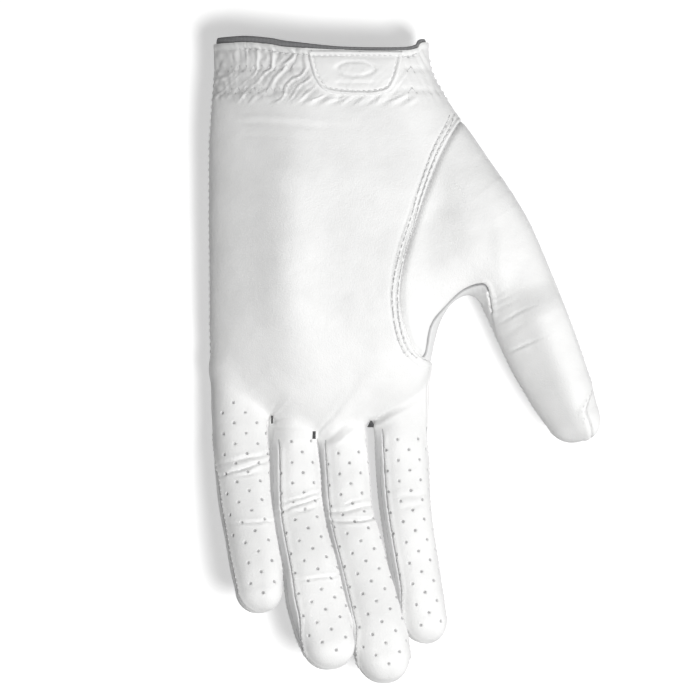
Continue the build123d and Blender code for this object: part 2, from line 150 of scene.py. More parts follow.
# ---- cuff: its edge, the wrist patch and its row of stitches, and the rows that hold the elastic ----
CUFF_EDGE = [(-60, 73.6), (-38, 73.6), (-28, 73.8), (-19, 72.9), (-12, 71.8), (9, 70.8), (26, 70.8),
             (32, 71.8), (36, 74.2), (60, 74.2)]
CUFF_STITCHES = 2.3  # how far below the edge its stitches run
PATCH = [(-7.6, 78.0), (-5.9, 70.2), (-4.9, 65.5), (-3.2, 60.4), (0.4, 56.4), (8.7, 55.2), (17.6, 55.3),
         (22.6, 57.2), (25.2, 62.5), (26.9, 70.2), (28.4, 78.0)]
PATCH_TOP, PATCH_THICK, PATCH_STITCHES = 70.4, 0.75, 1.45
PATCH_STITCH = {"pitch": 1.9, "length": 1.25, "thread": 0.17, "lift": PATCH_THICK - 0.33}
ZIGZAG_ROWS = (64.8, 57.2)
ELASTIC_BANDS = {"upper": (66.5, 2.0), "lower": (57.5, 2.5)}  # Y of the middle, half width
GATHER_PITCH, GATHER_LEAN, GATHER_TOP = 5.2, 1.05, 64.5  # below the top they lean away from the thumb

# ---- closure on the back ----
SLIT_X, SLIT_FOOT, SLIT_MOUTH, SLIT_LENGTH, SLIT_TAPE = -2.0, 35.0, 9.0, 40.0, 2.6
TAB_TIP_X, TAB_HINGE_X, TAB_Y, TAB_ROUND = -31.0, 18.0, (48.0, 71.5), 9.4
TAB_MIDDLE, TAB_HALF, TAB_ROOT = sum(TAB_Y) / 2, (TAB_Y[1] - TAB_Y[0]) / 2, 11.0
TAB_STITCHES = 1.7  # how far from the tab's edge its stitches run
TAB_STITCH = {"pitch": 2.2, "length": 1.45, "thread": 0.18}

# ---- regions in which a cut or a piece may lie ----
STALLS_Y, FORKS_Y, THUMB_X = -50, -52, 48  # fingers and forks lie below these Y, the thumb past this X
FRONT_Z, PALM_Z, BACK_Z = 8, 20, 9  # the front and the palm lie over these, the back below its own
ABOVE_Z = 30.0  # a rough line at this height lands on the palm


# ------------------------------------------------------------------ small numeric helpers


def unit(v):
    """Rows scaled to length one."""
    return v / np.maximum(np.linalg.norm(v, axis=-1, keepdims=True), 1e-9)


def smoothstep(x, low, high):
    """0 at the low end, 1 at the high end, smooth between them."""
    t = np.clip((x - low) / (high - low), 0, 1)
    return t * t * (3 - 2 * t)


def hump(x, width):
    """A bell, 1 at 0."""
    return np.exp(-((x / width) ** 2))


def spline(points, count):
    """A Catmull-Rom curve through rows of numbers, sampled evenly in its parameter."""
    p = np.array(points, float)
    p = np.vstack([2 * p[0] - p[1], p, 2 * p[-1] - p[-2]])
    t = np.linspace(0, len(p) - 3 - 1e-9, count)
    k = t.astype(int)
    t = (t - k)[:, None]
    a, b, c, d = p[k], p[k + 1], p[k + 2], p[k + 3]
    return b + 0.5 * t * (c - a + t * (2 * a - 5 * b + 4 * c - d + t * (3 * (b - c) + d - a)))


def soft_min(a, b, reach):
    """The smaller of two distances, rounded off where they are about the same."""
    h = np.clip(0.5 + 0.5 * (b - a) / reach, 0, 1)
    return b + (a - b) * h - reach * h * (1 - h)


def value_noise(p, scale, seed):
    """Smooth noise between -1 and 1 at points in millimetres. Large odd numbers scramble its lattice."""
    q = p / scale + seed * 17.3
    base = np.floor(q).astype(np.int64)
    f = q - base
    f = f * f * (3 - 2 * f)
    total = 0.0
    for dx in (0, 1):
        for dy in (0, 1):
            for dz in (0, 1):
                i, j, k = (base + (dx, dy, dz)).T
                h = (i * 374761393 + j * 668265263 + k * 2147483647 + seed * 1442695) & 0x7FFFFFFF
                h = (h ^ (h >> 13)) * 1274126177 & 0x7FFFFFFF
                w = (f[:, 0] if dx else 1 - f[:, 0]) * (f[:, 1] if dy else 1 - f[:, 1])
                total = total + w * (f[:, 2] if dz else 1 - f[:, 2]) * (h / 0x3FFFFFFF - 1)
    return total


class Curve:
    """A smooth open curve in the XY plane, with distances to it."""

    def __init__(self, points, count=90):
        self.p = spline(points, count)
        step = np.linalg.norm(np.diff(self.p, axis=0), axis=1)
        self.length = np.concatenate([[0], np.cumsum(step)])

    def locate(self, xy):
        """(signed distance, positive on the right of the way it runs; length along it)."""
        best = np.full(len(xy), 1e9)
        signed, along = np.zeros(len(xy)), np.zeros(len(xy))
        for a, b, start in zip(self.p, self.p[1:], self.length):
            d = b - a
            size = np.linalg.norm(d)
            t = np.clip((xy - a) @ d / size**2, 0, 1)
            q = xy - a - t[:, None] * d
            dist = np.hypot(*q.T)
            closer = dist < best
            side = np.sign(q[:, 0] * d[1] - q[:, 1] * d[0])
            best = np.where(closer, dist, best)
            signed = np.where(closer, side * dist, signed)
            along = np.where(closer, start + t * size, along)
        return signed, along

    def at(self, along):
        return np.column_stack([np.interp(along, self.length, self.p[:, k]) for k in (0, 1)])


# ------------------------------------------------------------------ the hand form


class Tube:
    """An almost elliptical tube round a smooth centre line, with rounded ends."""

    POWER = 2.35  # how square the section is
    FAR = 60.0  # what counts as the distance where it isn't worked out

    def __init__(self, line, roll, cap):
        rows = spline(line, 3 * len(line))
        self.c, self.a, self.b, self.cap = rows[:, :3], rows[:, 3], rows[:, 4], cap
        self.along = unit(np.gradient(self.c, axis=0))
        across = unit(np.cross((0, 0, 1.0), self.along))
        up = np.cross(self.along, across)
        turn = math.radians(roll)
        self.u = math.cos(turn) * across - math.sin(turn) * up
        self.v = math.cos(turn) * up + math.sin(turn) * across
        self.length = np.concatenate([[0], np.cumsum(np.linalg.norm(np.diff(self.c, axis=0), axis=1))])
        self.total = self.length[-1] + cap
        pad = self.a.max() + 9
        self.low, self.high = self.c.min(0) - pad, self.c.max(0) + pad

    def measure(self, p):
        """Distance to the surface, length along, u and v as shares of the half sizes, and mean size."""
        best = np.full(len(p), 1e9)
        place = np.zeros(len(p))
        past = np.zeros(len(p))
        last = len(self.c) - 2
        for k in range(last + 1):
            d = self.c[k + 1] - self.c[k]
            size = d @ d
            raw = (p - self.c[k]) @ d / size
            t = np.clip(raw, 0, 1)
            q = p - self.c[k] - t[:, None] * d
            dist = (q * q).sum(1)
            closer = dist < best
            best = np.where(closer, dist, best)
            place = np.where(closer, k + t, place)
            over = np.where(raw > 1, raw - 1, 0) if k == last else 0
            under = np.where(raw < 0, -raw, 0) if k == 0 else 0
            past = np.where(closer, (over + under) * math.sqrt(size), past)
        k = np.minimum(place.astype(int), last)
        t = (place - k)[:, None]
        q = p - (self.c[k] * (1 - t) + self.c[k + 1] * t)
        axis = [unit(m[k] * (1 - t) + m[k + 1] * t) for m in (self.u, self.v)]
        u, v = (q * axis[0]).sum(1), (q * axis[1]).sum(1)
        t = t[:, 0]
        a, b = self.a[k] * (1 - t) + self.a[k + 1] * t, self.b[k] * (1 - t) + self.b[k + 1] * t
        n = self.POWER
        ring = (np.abs(u / a) ** n + np.abs(v / b) ** n) ** (1 / n)
        f = np.maximum(np.hypot(ring, past / self.cap), 1e-3)
        distance = np.sqrt((q * q).sum(1)) * (1 - 1 / f)
        along = self.length[k] * (1 - t) + self.length[k + 1] * t + past
        return distance, along, u / a, v / b, np.sqrt(a * b)

    def size_at(self, along):
        """Mean half size at lengths along the tube."""
        return np.interp(along, self.length, np.sqrt(self.a * self.b))

    def distance(self, p):
        """Distance to the surface, worked out near the tube only."""
        result = np.full(len(p), self.FAR)
        near = ((p > self.low) & (p < self.high)).all(1)
        if near.any():
            result[near] = self.measure(p[near])[0]
        return result

    def point(self, along, angle):
        """Points on the tube at lengths along it and angles round it, with the front at a quarter turn."""
        k = np.interp(along, self.length, np.arange(len(self.length)))
        k0 = np.minimum(k.astype(int), len(self.length) - 2)
        t = (k - k0)[:, None]
        c, u, v = (m[k0] * (1 - t) + m[k0 + 1] * t for m in (self.c, self.u, self.v))
        a = np.interp(along, self.length, self.a)[:, None]
        b = np.interp(along, self.length, self.b)[:, None]
        past = np.maximum(along - self.length[-1], 0)[:, None] / self.cap
        shrink = np.sqrt(np.clip(1 - past**2, 0.02, 1))
        out = shrink * (a * u * np.cos(angle)[:, None] + b * v * np.sin(angle)[:, None])
        return c + past * self.cap * self.along[-1] + out


class Stall(Tube):
    """The tube of a finger or of the thumb, with the places of its joints in the CAD frame."""

    def __init__(self, name, line, roll, cap, start, strips):
        super().__init__(line, roll, cap)
        self.name, self.start, self.strips = name, start, strips
        hinges = {j["name"]: np.array(j["pos_m"]) / MM for j in frame["joints"]}
        self.knuckle = hinges[f"{name}_knuckle"]
        self.joint = hinges["thumb_tip_joint" if name == "thumb" else f"{name}_middle_joint"]
        self.reach = np.linalg.norm(self.joint - self.knuckle)
        self.way = (self.joint - self.knuckle) / self.reach
        self.split = SPLIT_SHARE * self.reach

    def beyond(self, p):
        """Length past the knuckle's plane, along the way to the middle joint."""
        return (p - self.knuckle) @ self.way


def hand_form(p):
    """Distance to the hand without stalls."""
    rows = np.array(HAND)
    fine = spline(rows[np.argsort(rows[:, 0])], 120)
    xc, a, low, high = (np.interp(p[:, 1], fine[:, 0], fine[:, k]) for k in (1, 2, 3, 4))
    x, z = p[:, 0] - xc, p[:, 2]
    m, h = (low + high) / 2, (high - low) / 2
    v = (z - m) / h
    n = np.where(v > 0, TOP_LEFT + (TOP_RIGHT - TOP_LEFT) * (x > 0), UNDERSIDE)
    ring = (np.abs(x / a) ** n + np.abs(v) ** n) ** (1 / n)
    ends = spline(HAND_END, 60)
    end = np.interp(p[:, 0], ends[:, 0], ends[:, 1])
    over = np.maximum(end + HAND_END_ROUND - p[:, 1], 0)
    f = np.maximum(np.hypot(ring, over / HAND_END_ROUND), 1e-3)
    return np.sqrt(x**2 + (z - m) ** 2 + over**2) * (1 - 1 / f)


stalls = {name: Stall(name, **spec) for name, spec in STALLS.items()}
webs = [Tube(line, 0, WEB_CAP) for line in WEB_LINES]


def form(p, names):
    """Distance to the hand with the named stalls."""
    palm = hand_form(p)
    if "thumb" in names:
        blend = BACK_BLEND + (THUMB_BLEND - BACK_BLEND) * smoothstep(p[:, 2], *BLEND_HEIGHTS)
        palm = soft_min(palm, stalls["thumb"].distance(p), blend)
        for web in webs:
            palm = soft_min(palm, web.distance(p), WEB_BLEND)
    result = palm
    for name in names:
        if name != "thumb":
            result = np.minimum(result, soft_min(palm, stalls[name].distance(p), FORK_BLEND))
    return result


def gradient(p, names, step=0.25):
    """Outward unit direction of the form at points, from the corners of a small tetrahedron."""
    g = 0
    for corner in ((1, 1, 1), (1, -1, -1), (-1, 1, -1), (-1, -1, 1)):
        d = step * np.array(corner, float)
        g = g + d * form(p + d, names)[:, None]
    return unit(g)


def land(p, names, rounds=2):
    """Points moved onto the form's surface, and the outward directions there."""
    for _ in range(rounds):
        g = gradient(p, names)
        p = p - form(p, names)[:, None] * g
    return p, gradient(p, names)


# ------------------------------------------------------------------ meshing


class Skin:
    """A triangle mesh with named values at its vertices."""

    def __init__(self, verts, tris):
        self.tris = tris
        self.values = {"base": verts}

    def __getitem__(self, key):
        return self.values[key]

    def __setitem__(self, key, value):
        self.values[key] = value

    def keep(self, mask):
        """Only the triangles in the mask, with the vertices that they use, as a new skin."""
        used, inverse = np.unique(self.tris[mask], return_inverse=True)
        part = Skin(None, inverse.reshape(-1, 3))
        part.values = {k: v[used] for k, v in self.values.items()}
        return part

    def copy(self):
        """The same skin, which can be cut without changing this one."""
        other = Skin(None, self.tris)
        other.values = dict(self.values)
        return other

    def centre(self):
        """The middles of the triangles."""
        return self["base"][self.tris].mean(1)

    def cut(self, field, *levels):
        """Cuts where a field of the points, given as a function, takes each of some values."""
        for level in levels:
            self.split(field(self["base"]) - level)

    def cut_seam(self, field):
        """Cuts along a seam and along both edges of its cleft. The field is the distance to the seam."""
        self["field"] = field
        for level in (-SEAM_HALF, 0.0, SEAM_HALF):
            self.split(self["field"] - level)

    def split(self, field):
        """Cuts every triangle in which the field, one number per vertex, changes sign."""
        side = np.where(field > SNAP, 1, np.where(field < -SNAP, -1, 0))
        corner = side[self.tris]
        crossing = (corner.max(1) == 1) & (corner.min(1) == -1)
        if not crossing.any():
            return
        whole, cut = self.tris[~crossing], self.tris[crossing]
        corner = side[cut]
        has_zero = (corner == 0).any(1)
        lone = np.where(has_zero, 0, np.sign(-corner.sum(1)))
        turn = np.argmax(corner == lone[:, None], axis=1)
        rows = np.arange(len(cut))
        a, b, c = (cut[rows, (turn + k) % 3] for k in range(3))
        two, one = ~has_zero, has_zero
        pairs = ((a, b, two), (a, c, two), (b, c, one))
        ends = np.vstack([np.column_stack([tail, head])[which] for tail, head, which in pairs])
        ends.sort(axis=1)
        edges, index = np.unique(ends, axis=0, return_inverse=True)
        index = index.reshape(-1) + len(field)
        f0, f1 = field[edges[:, 0]], field[edges[:, 1]]
        share = f0 / (f0 - f1)
        for key, value in self.values.items():
            t = share[:, None] if value.ndim == 2 else share
            added = value[edges[:, 0]] * (1 - t) + value[edges[:, 1]] * t
            self.values[key] = np.concatenate([value, added])
        count = int(two.sum())
        ab, ac, bc = index[:count], index[count : 2 * count], index[2 * count :]
        a2, b2, c2, a1, b1, c1 = a[two], b[two], c[two], a[one], b[one], c[one]
        parts = [(a2, ab, ac), (ab, b2, c2), (ab, c2, ac), (a1, b1, bc), (a1, bc, c1)]
        self.tris = np.vstack([whole] + [np.column_stack(t) for t in parts])

    def normals(self, key):
        """Vertex directions from the triangles of the named positions, weighted by area."""
        v, t = self[key], self.tris
        face = np.cross(v[t[:, 1]] - v[t[:, 0]], v[t[:, 2]] - v[t[:, 0]])
        total = np.zeros_like(v)
        for k in range(3):
            for axis in range(3):
                total[:, axis] += np.bincount(t[:, k], face[:, axis], minlength=len(v))
        return unit(total)


CORNERS = np.array([(i, j, k) for i in (0, 1) for j in (0, 1) for k in (0, 1)])
EDGES = [(a, b) for a in range(8) for b in range(a + 1, 8) if np.abs(CORNERS[a] - CORNERS[b]).sum() == 1]


def mesh_form(low, high, names):
    """Quads of the form's surface in a box, on a lattice that all pieces share, as (vertices, quads)."""
    first = np.floor(np.array(low) / GRID).astype(int)
    count = np.ceil(np.array(high) / GRID).astype(int) - first + 1
    axes = [(first[k] + np.arange(count[k])) * GRID for k in range(3)]
    points = np.stack(np.meshgrid(*axes, indexing="ij"), -1).reshape(-1, 3)
    value = form(points, names).reshape(count)
    shape = count - 1
    total, hits = np.zeros((*shape, 3)), np.zeros(shape)
    corner = [value[i : i + shape[0], j : j + shape[1], k : k + shape[2]] for i, j, k in CORNERS]
    for a, b in EDGES:
        cross = (corner[a] < 0) != (corner[b] < 0)
        t = np.where(cross, corner[a] / np.where(cross, corner[a] - corner[b], 1), 0)
        spot = CORNERS[a] + t[..., None] * (CORNERS[b] - CORNERS[a])
        total += spot * cross[..., None]
        hits += cross
    cells = np.argwhere(hits > 0)
    number = np.full(shape, -1)
    number[tuple(cells.T)] = np.arange(len(cells))
    local = total[tuple(cells.T)] / hits[tuple(cells.T)][:, None]
    verts = (first + cells + local) * GRID
    quads = []
    for axis in range(3):
        u, w = (axis + 1) % 3, (axis + 2) % 3
        near = np.take(value, range(count[axis] - 1), axis)
        far = np.take(value, range(1, count[axis]), axis)
        spots = np.argwhere((near < 0) != (far < 0))
        inside = [(spots[:, k] > 0) & (spots[:, k] < shape[k]) for k in (u, w)]
        spots = spots[inside[0] & inside[1]]
        one_u, one_w = np.eye(3, dtype=int)[[u, w]]
        ring = [number[tuple((spots - d).T)] for d in (one_u + one_w, one_w, 0, one_u)]
        quad = np.column_stack(ring)
        outward = near[tuple(spots.T)] < 0
        quads.append(np.where(outward[:, None], quad, quad[:, ::-1]))
    return verts, np.vstack(quads)


def finer(verts, quads):
    """Each quad as four, then as eight triangles."""
    edges = np.sort(np.stack([quads, np.roll(quads, -1, axis=1)], -1).reshape(-1, 2), axis=1)
    unique, index = np.unique(edges, axis=0, return_inverse=True)
    index = index.reshape(-1, 4) + len(verts)
    middle = len(verts) + len(unique) + np.arange(len(quads))
    verts = np.vstack([verts, verts[unique].mean(1), verts[quads].mean(1)])
    tris = []
    for k in range(4):
        tris += [(quads[:, k], index[:, k], middle), (quads[:, k], middle, index[:, k - 1])]
    return verts, np.vstack([np.column_stack(t) for t in tris])


def mesh_skin(low, high, names):
    """The form's surface in a box as a fine skin, with the outward directions."""
    verts, quads = mesh_form(low, high, names)
    verts, _ = land(verts, names, 1)
    verts, tris = finer(verts, quads)
    skin = Skin(verts, tris)
    skin["base"], skin["way"] = land(verts, names, 1)
    return skin


# ------------------------------------------------------------------ relief of the leather


# depth and width: the valley of a seam, and the leather that stands up beside it
STRIP_CLEFT, STRIP_WELT, STRIP_SINK = 0.75, 0.4, 0.4
FRONT_CLEFT, FRONT_WELT = 0.65, 0.32
WELT_AT, WELT_WIDTH = 1.15, 0.75
CUT_SEAM_DEPTH = 0.9  # of the seams round the thumb piece and the web gusset


def cleft(s, depth):
    """The sharp valley of a sewn seam, at distances s from it."""
    return -depth * (1 - smoothstep(np.abs(s), 0, SEAM_HALF))


def groove(d, depth, width):
    """A soft valley, at distances d from its middle."""
    return -depth * hump(d, width)


def side_seam_height(y):
    return SIDE_SEAM[0] + SIDE_SEAM[1] * y


def strip_taper(stall, along):
    """A side strip's width along its stall, as a share: it narrows to nothing at the tip."""
    total = stall.total
    return 1 - smoothstep(along, total - 0.9 * stall.cap - 14, total - 0.55 * stall.cap)


def strip_field(stall, which, measured):
    """Distance outside a side strip's edge, negative inside the strip, along the surface."""
    _, along, u, v, size = measured
    angle = np.abs(np.arctan2(v, u if which == "inner" else -u))
    taper = strip_taper(stall, along)
    return size * (angle - STRIP_HALF_ANGLE * taper + 0.25 * (taper < 0.02))


def front_turn(stall, along, right):
    """How far a front seam lies below a stall's side, in radians."""
    first, later = FRONT_SEAM_TURN[stall.name]
    turn = np.radians(first + (later - first) * smoothstep(along, 18, 42))
    if stall.name == "thumb":
        turn = turn - THUMB_TIP_TURN * smoothstep(along, stall.length[-1] - 12, stall.length[-1] + 1) * right
    return turn


def front_field(stall, measured):
    """Height over the seam between a stall's front and back, where no strip lies between them."""
    _, along, u, v, size = measured
    turn = front_turn(stall, along, u > 0)
    return size * (v * np.cos(turn) + np.abs(u) * np.sin(turn))


def front_seam_share(stall, measured):
    """1 where a stall's front meets its back, without a strip between them."""
    _, along, u, _, _ = measured
    tip = smoothstep(along, stall.length[-1] - 6, stall.length[-1] + 2)
    plain = np.zeros(len(u), bool)
    for side in PLAIN_SIDES[stall.name]:
        plain |= side * u >= 0
    return np.maximum(tip, plain)


CREASES = {  # Y at the middle of the front, slope, depth, width, half length as a share of the half width
    "little": [(-71.5, 0.22, 0.6, 0.7, 0.9), (-74.8, 0.30, 0.85, 0.6, 1.0), (-76.8, 0.12, 0.35, 0.5, 0.5),
               (-93.3, 0.02, 0.42, 0.45, 0.9)],
    "ring": [(-85.2, 0.30, 0.6, 0.6, 0.8), (-87.6, 0.38, 0.85, 0.6, 0.9), (-89.8, 0.2, 0.35, 0.5, 0.5),
             (-112.5, 0.06, 0.35, 0.5, 0.9)],
    "middle": [(-89.2, 0.16, 0.9, 0.7, 1.0), (-92.9, 0.08, 1.1, 0.6, 1.1), (-87.2, 0.3, 0.4, 0.5, 0.5)],
    "index": [(-84.5, 0.1, 0.25, 0.9, 0.8), (-88.5, 0.2, 0.2, 0.8, 0.6)],
    "thumb": [],
}


def finger_relief(stall, p, measured):
    """Outward displacement of a finger's leather: its seams, its flat strips and its folds at the joints."""
    _, _, u, v, _ = measured
    rise = np.zeros(len(p))
    for which in stall.strips:
        s = strip_field(stall, which, measured)
        rise += cleft(s, STRIP_CLEFT) + STRIP_WELT * hump(s - WELT_AT, WELT_WIDTH) * (s > 0)
        rise -= STRIP_SINK * smoothstep(-s, 0.5, 3.0)
    f = front_field(stall, measured)
    valley = cleft(f, FRONT_CLEFT) + FRONT_WELT * hump(f - WELT_AT, WELT_WIDTH)
    rise += valley * front_seam_share(stall, measured)
    front = smoothstep(v, -0.2, 0.5)
    centre = np.interp(-p[:, 1], -stall.c[:, 1], stall.c[:, 0])
    wave = 0.5 * value_noise(p, 4.0, 3) + 0.25 * value_noise(p, 1.8, 6)
    for y, slope, depth, width, span in CREASES[stall.name]:
        d = p[:, 1] - y - slope * (p[:, 0] - centre) + wave
        lips = hump(d - 2 * width, 1.2 * width) + hump(d + 2 * width, width)
        fold = groove(d, depth, 0.75 * width) + 0.28 * depth * lips
        rise += front * hump(u / (0.85 * span), 1.0) * fold
    return rise + lean(stall, p, u, v)


LEAN = {"little": 1.3, "ring": 1.2, "middle": 0.9, "index": 0.7, "thumb": 1.5}  # height of a pad's crest


def lean(stall, p, u, v):
    """A crest on the thumb's side of each pad, so that the pad faces a little away from the thumb."""
    crest = LEAN[stall.name] * hump(u - 0.5, 0.6)
    return crest * smoothstep(v, 0.0, 0.6) * smoothstep(stall.beyond(p), 3, 16)


# distance past the thumb's knuckle, depth, width, bow, middle across
THUMB_FOLDS = [(11.2, 0.5, 0.45, 0.8, -0.2), (21.9, 0.6, 0.45, 0.3, -0.3), (6.5, 0.22, 0.8, 0.5, -0.5),
               (15.5, 0.2, 0.9, 0.8, -0.4), (4.0, 0.2, 0.6, 1.0, -0.5), (1.8, 0.18, 0.6, 1.5, -0.5)]


def thumb_relief(p, measured):
    """Folds across the front of the thumb, and the crest of its pad."""
    stall = stalls["thumb"]
    _, _, u, v, _ = measured
    front = smoothstep(v, -0.1, 0.5)
    rise = np.zeros(len(p))
    wave = 0.4 * value_noise(p, 6.0, 5) + 0.2 * value_noise(p, 2.0, 6)
    for centre, depth, width, bow, middle in THUMB_FOLDS:
        d = stall.beyond(p) - centre + bow * u + wave
        reach = front * hump(u - middle, 0.42)
        rise += reach * (groove(d, depth, width) + 0.35 * depth * hump(d - 2.2 * width, 1.4 * width))
    return rise + lean(stall, p, u, v)


# soft forms in the palm: X, Y, reach in X, reach in Y, height
PALM_FORMS = [(31, 4, 13, 26, 1.6), (-12, 0, 10, 44, 2.8), (6, -36, 20, 14, 0.8)]
FOLDS = [  # two ends in X and Y, height, width
    ((-2.5, -62.0), (20.0, -39.0), 0.9, 2.6),
    ((1.0, -64.5), (22.0, -44.0), -0.8, 1.7),
    ((-1.5, -60.5), (9.0, -48.0), -0.45, 0.8),
    ((4.0, -66.0), (16.0, -57.0), 0.5, 1.1),
    ((18.5, -59.8), (33.0, -51.5), 0.95, 1.0),
    ((18.0, -57.8), (32.0, -48.5), -0.8, 0.8),
    ((-18.0, -56.8), (-13.0, -50.0), 0.3, 0.6),
    ((-18.5, -55.5), (-16.0, -49.5), -0.25, 0.5),
    ((-17.5, -58.0), (-8.0, -55.5), -0.35, 0.6),
    ((-17.5, -60.0), (-7.0, -60.5), -0.3, 0.6),
    ((-26.0, 48.0), (6.0, 45.5), 0.22, 1.2),
    ((-28.0, 46.0), (2.0, 43.5), -0.25, 1.0),
    ((-26.0, 41.5), (-6.0, 39.5), -0.15, 0.9),
]


def palm_folds(p, front):
    """Soft folds that run up from the forks of the fingers, and under the cuff."""
    rise = np.zeros(len(p))
    wave = 0.5 * value_noise(p, 6.0, 8)
    for a, b, height, width in FOLDS:
        a, b = np.array(a), np.array(b)
        d = b - a
        size = np.linalg.norm(d)
        t = (p[:, :2] - a) @ d / size**2
        side = ((p[:, 0] - a[0]) * d[1] - (p[:, 1] - a[1]) * d[0]) / size + wave
        over = np.maximum(np.abs(t - 0.5) - 0.5, 0) * size
        spread = width * (0.7 + 0.7 * np.clip(t, 0, 1))
        fading = 1 - 0.75 * np.clip(t, 0, 1)
        rise += front * height * hump(side, spread) * hump(over, 2.5) * fading
    return rise


def in_patch(p):
    """1 under the wrist patch, falling to 0 outside it."""
    return smoothstep(patch_field(p[:, :2]), -2.5, 0.0) * smoothstep(p[:, 2], 16, 22)


def patch_field(xy):
    """Distance inside the wrist patch's outline."""
    return np.minimum(-patch_curve.locate(xy)[0], PATCH_TOP - xy[:, 1])


GATHER_FORM = [(0.7, 0.2), (-0.7, -0.02), (-0.5, 0.45)]  # a gather's ridge and valleys: height, place
FINE_PITCH, KNOT_PITCH = 2.4, 5.8  # of the fine pleats, and of the knots where the gathers end


def cuff_gathers(p):
    """Height of the gathers: ridges that fall from the cuff's edge and then lean away from the thumb."""
    x, y = p[:, 0], p[:, 1]
    wave = value_noise(p, 8.0, 7) + 0.5 * value_noise(p, 3.5, 11)
    leaning = (GATHER_LEAN + 0.3 * value_noise(p, 12.0, 14)) * np.maximum(GATHER_TOP - y, 0)
    phase = (x + leaning + 2.4 * wave) / GATHER_PITCH
    place = phase - np.floor(phase) - 0.5
    saw = np.where(place < 0.25, (place + 0.5) / 0.75, (0.5 - place) / 0.25) - 0.5
    sharp = 0.4 * saw
    for height, middle in GATHER_FORM:
        sharp = sharp + height * hump(place - middle, 0.1)
    fine = np.sin((x + 0.4 * (y - 60) + 1.3 * wave) * 2 * math.pi / FINE_PITCH)
    right = smoothstep(x, 24, 30)
    left = 0.25 + 0.75 * smoothstep(x, -34, -14)
    patchy = 0.8 + 0.7 * value_noise(p, 5.0, 12)
    return (1 - right) * left * patchy * sharp + 0.24 * fine * patchy * (0.45 + 0.55 * right)


def cuff_relief(p, front):
    """Gathers over the wrist elastic, the folded edge, and the smooth leather where they end."""
    x, y = p[:, 0], p[:, 1]
    reach = smoothstep(y, 51.5, 55.0) * (1 - smoothstep(y, 70.5, 72.5))
    strength = reach * (1 - 0.92 * in_patch(p)) * (0.15 + 0.85 * front)
    crumple = 0.3 * value_noise(p, 1.8, 13) * (1 - smoothstep(x, -12, 0))
    rise = strength * (0.66 * cuff_gathers(p) + crumple)
    knots = np.sin((x + GATHER_LEAN * (GATHER_TOP - y)) * 2 * math.pi / KNOT_PITCH) * hump(y - 53.4, 1.3)
    rise += 0.4 * front * knots * smoothstep(x, -12, -6) * (1 - smoothstep(x, 30, 34))
    for row in ZIGZAG_ROWS:
        rise += groove(y - row, 0.3, 1.2) * strength
    edge = cuff_height(p) - y
    folded = groove(edge - CUFF_STITCHES, 0.3, 0.45) + 0.35 * hump(edge - 0.8, 0.8)
    return rise + folded * (0.3 + 0.7 * front)


def cuff_height(p):
    """Y of the leather's edge at the cuff."""
    return np.interp(p[:, 0], cuff_edge.p[:, 0], cuff_edge.p[:, 1])


def palm_relief(p, way):
    """Outward displacement of the palm, the ball of the thumb and the back."""
    xy = p[:, :2]
    front = smoothstep(way[:, 2], 0.05, 0.55)
    rise = np.zeros(len(p))
    for x, y, reach_x, reach_y, height in PALM_FORMS:
        away = ((p[:, 0] - x) / reach_x) ** 2 + ((p[:, 1] - y) / reach_y) ** 2
        rise += height * front * np.exp(-away)
    s = -thumb_seam.locate(xy)[0]
    fade = 0.4 + 0.6 * front
    rise += fade * (cleft(s, CUT_SEAM_DEPTH) + groove(s - 0.5, 0.55, 0.9) + 0.45 * hump(s + 1.0, 0.7))
    sewn_in = [groove(s + distance, 0.22, 0.35) for distance in THUMB_STITCHES]
    rise += fade * (sewn_in[0] + sewn_in[1] + 0.2 * hump(s + 2.6, 0.6))
    w = web_seam.locate(xy)[0]
    inside = smoothstep(s, -1.0, 1.0)
    sunk = 0.5 * smoothstep(w, 0.3, 2.5)
    rise += inside * fade * (cleft(w, CUT_SEAM_DEPTH) + 0.4 * hump(w + 1.1, 0.8) - sunk)
    seam = p[:, 2] - side_seam_height(p[:, 1])
    outside = 1 - smoothstep(np.abs(way[:, 2]), 0.75, 0.9)
    rise += outside * (cleft(seam, 0.6) + 0.25 * hump(np.abs(seam) - 1.2, 0.8))
    return rise + palm_folds(p, front) + cuff_relief(p, front)


def slack(p):
    """Small unevenness of soft leather."""
    return 0.2 * value_noise(p, 12.0, 1) + 0.07 * value_noise(p, 4.2, 2) + 0.025 * value_noise(p, 1.7, 4)


def root_relief(p, way):
    """The relief of everything that stays with the palm."""
    near_thumb = smoothstep(stalls["thumb"].beyond(p), -14, -2) * smoothstep(p[:, 0], 44, 50)
    rise = palm_relief(p, way) + slack(p)
    return rise + thumb_relief(p, stalls["thumb"].measure(p)) * near_thumb


def stall_relief(stall):
    """The relief of a stall's leather, which takes over from the palm's past the knuckle."""

    def relief(p, way):
        measured = stall.measure(p)
        own = finger_relief(stall, p, measured)
        if stall.name == "thumb":
            return root_relief(p, way) + own * smoothstep(stall.beyond(p), 0, 5)
        into = smoothstep(stall.beyond(p), stall.start - 0.5, stall.start + 4)
        return palm_relief(p, way) * (1 - into) + own * into + slack(p)

    return relief


thumb_seam, web_seam = Curve(THUMB_SEAM), Curve(WEB_SEAM)
cuff_edge, patch_curve = Curve(CUFF_EDGE), Curve(PATCH)


# ------------------------------------------------------------------ perforations and needle holes


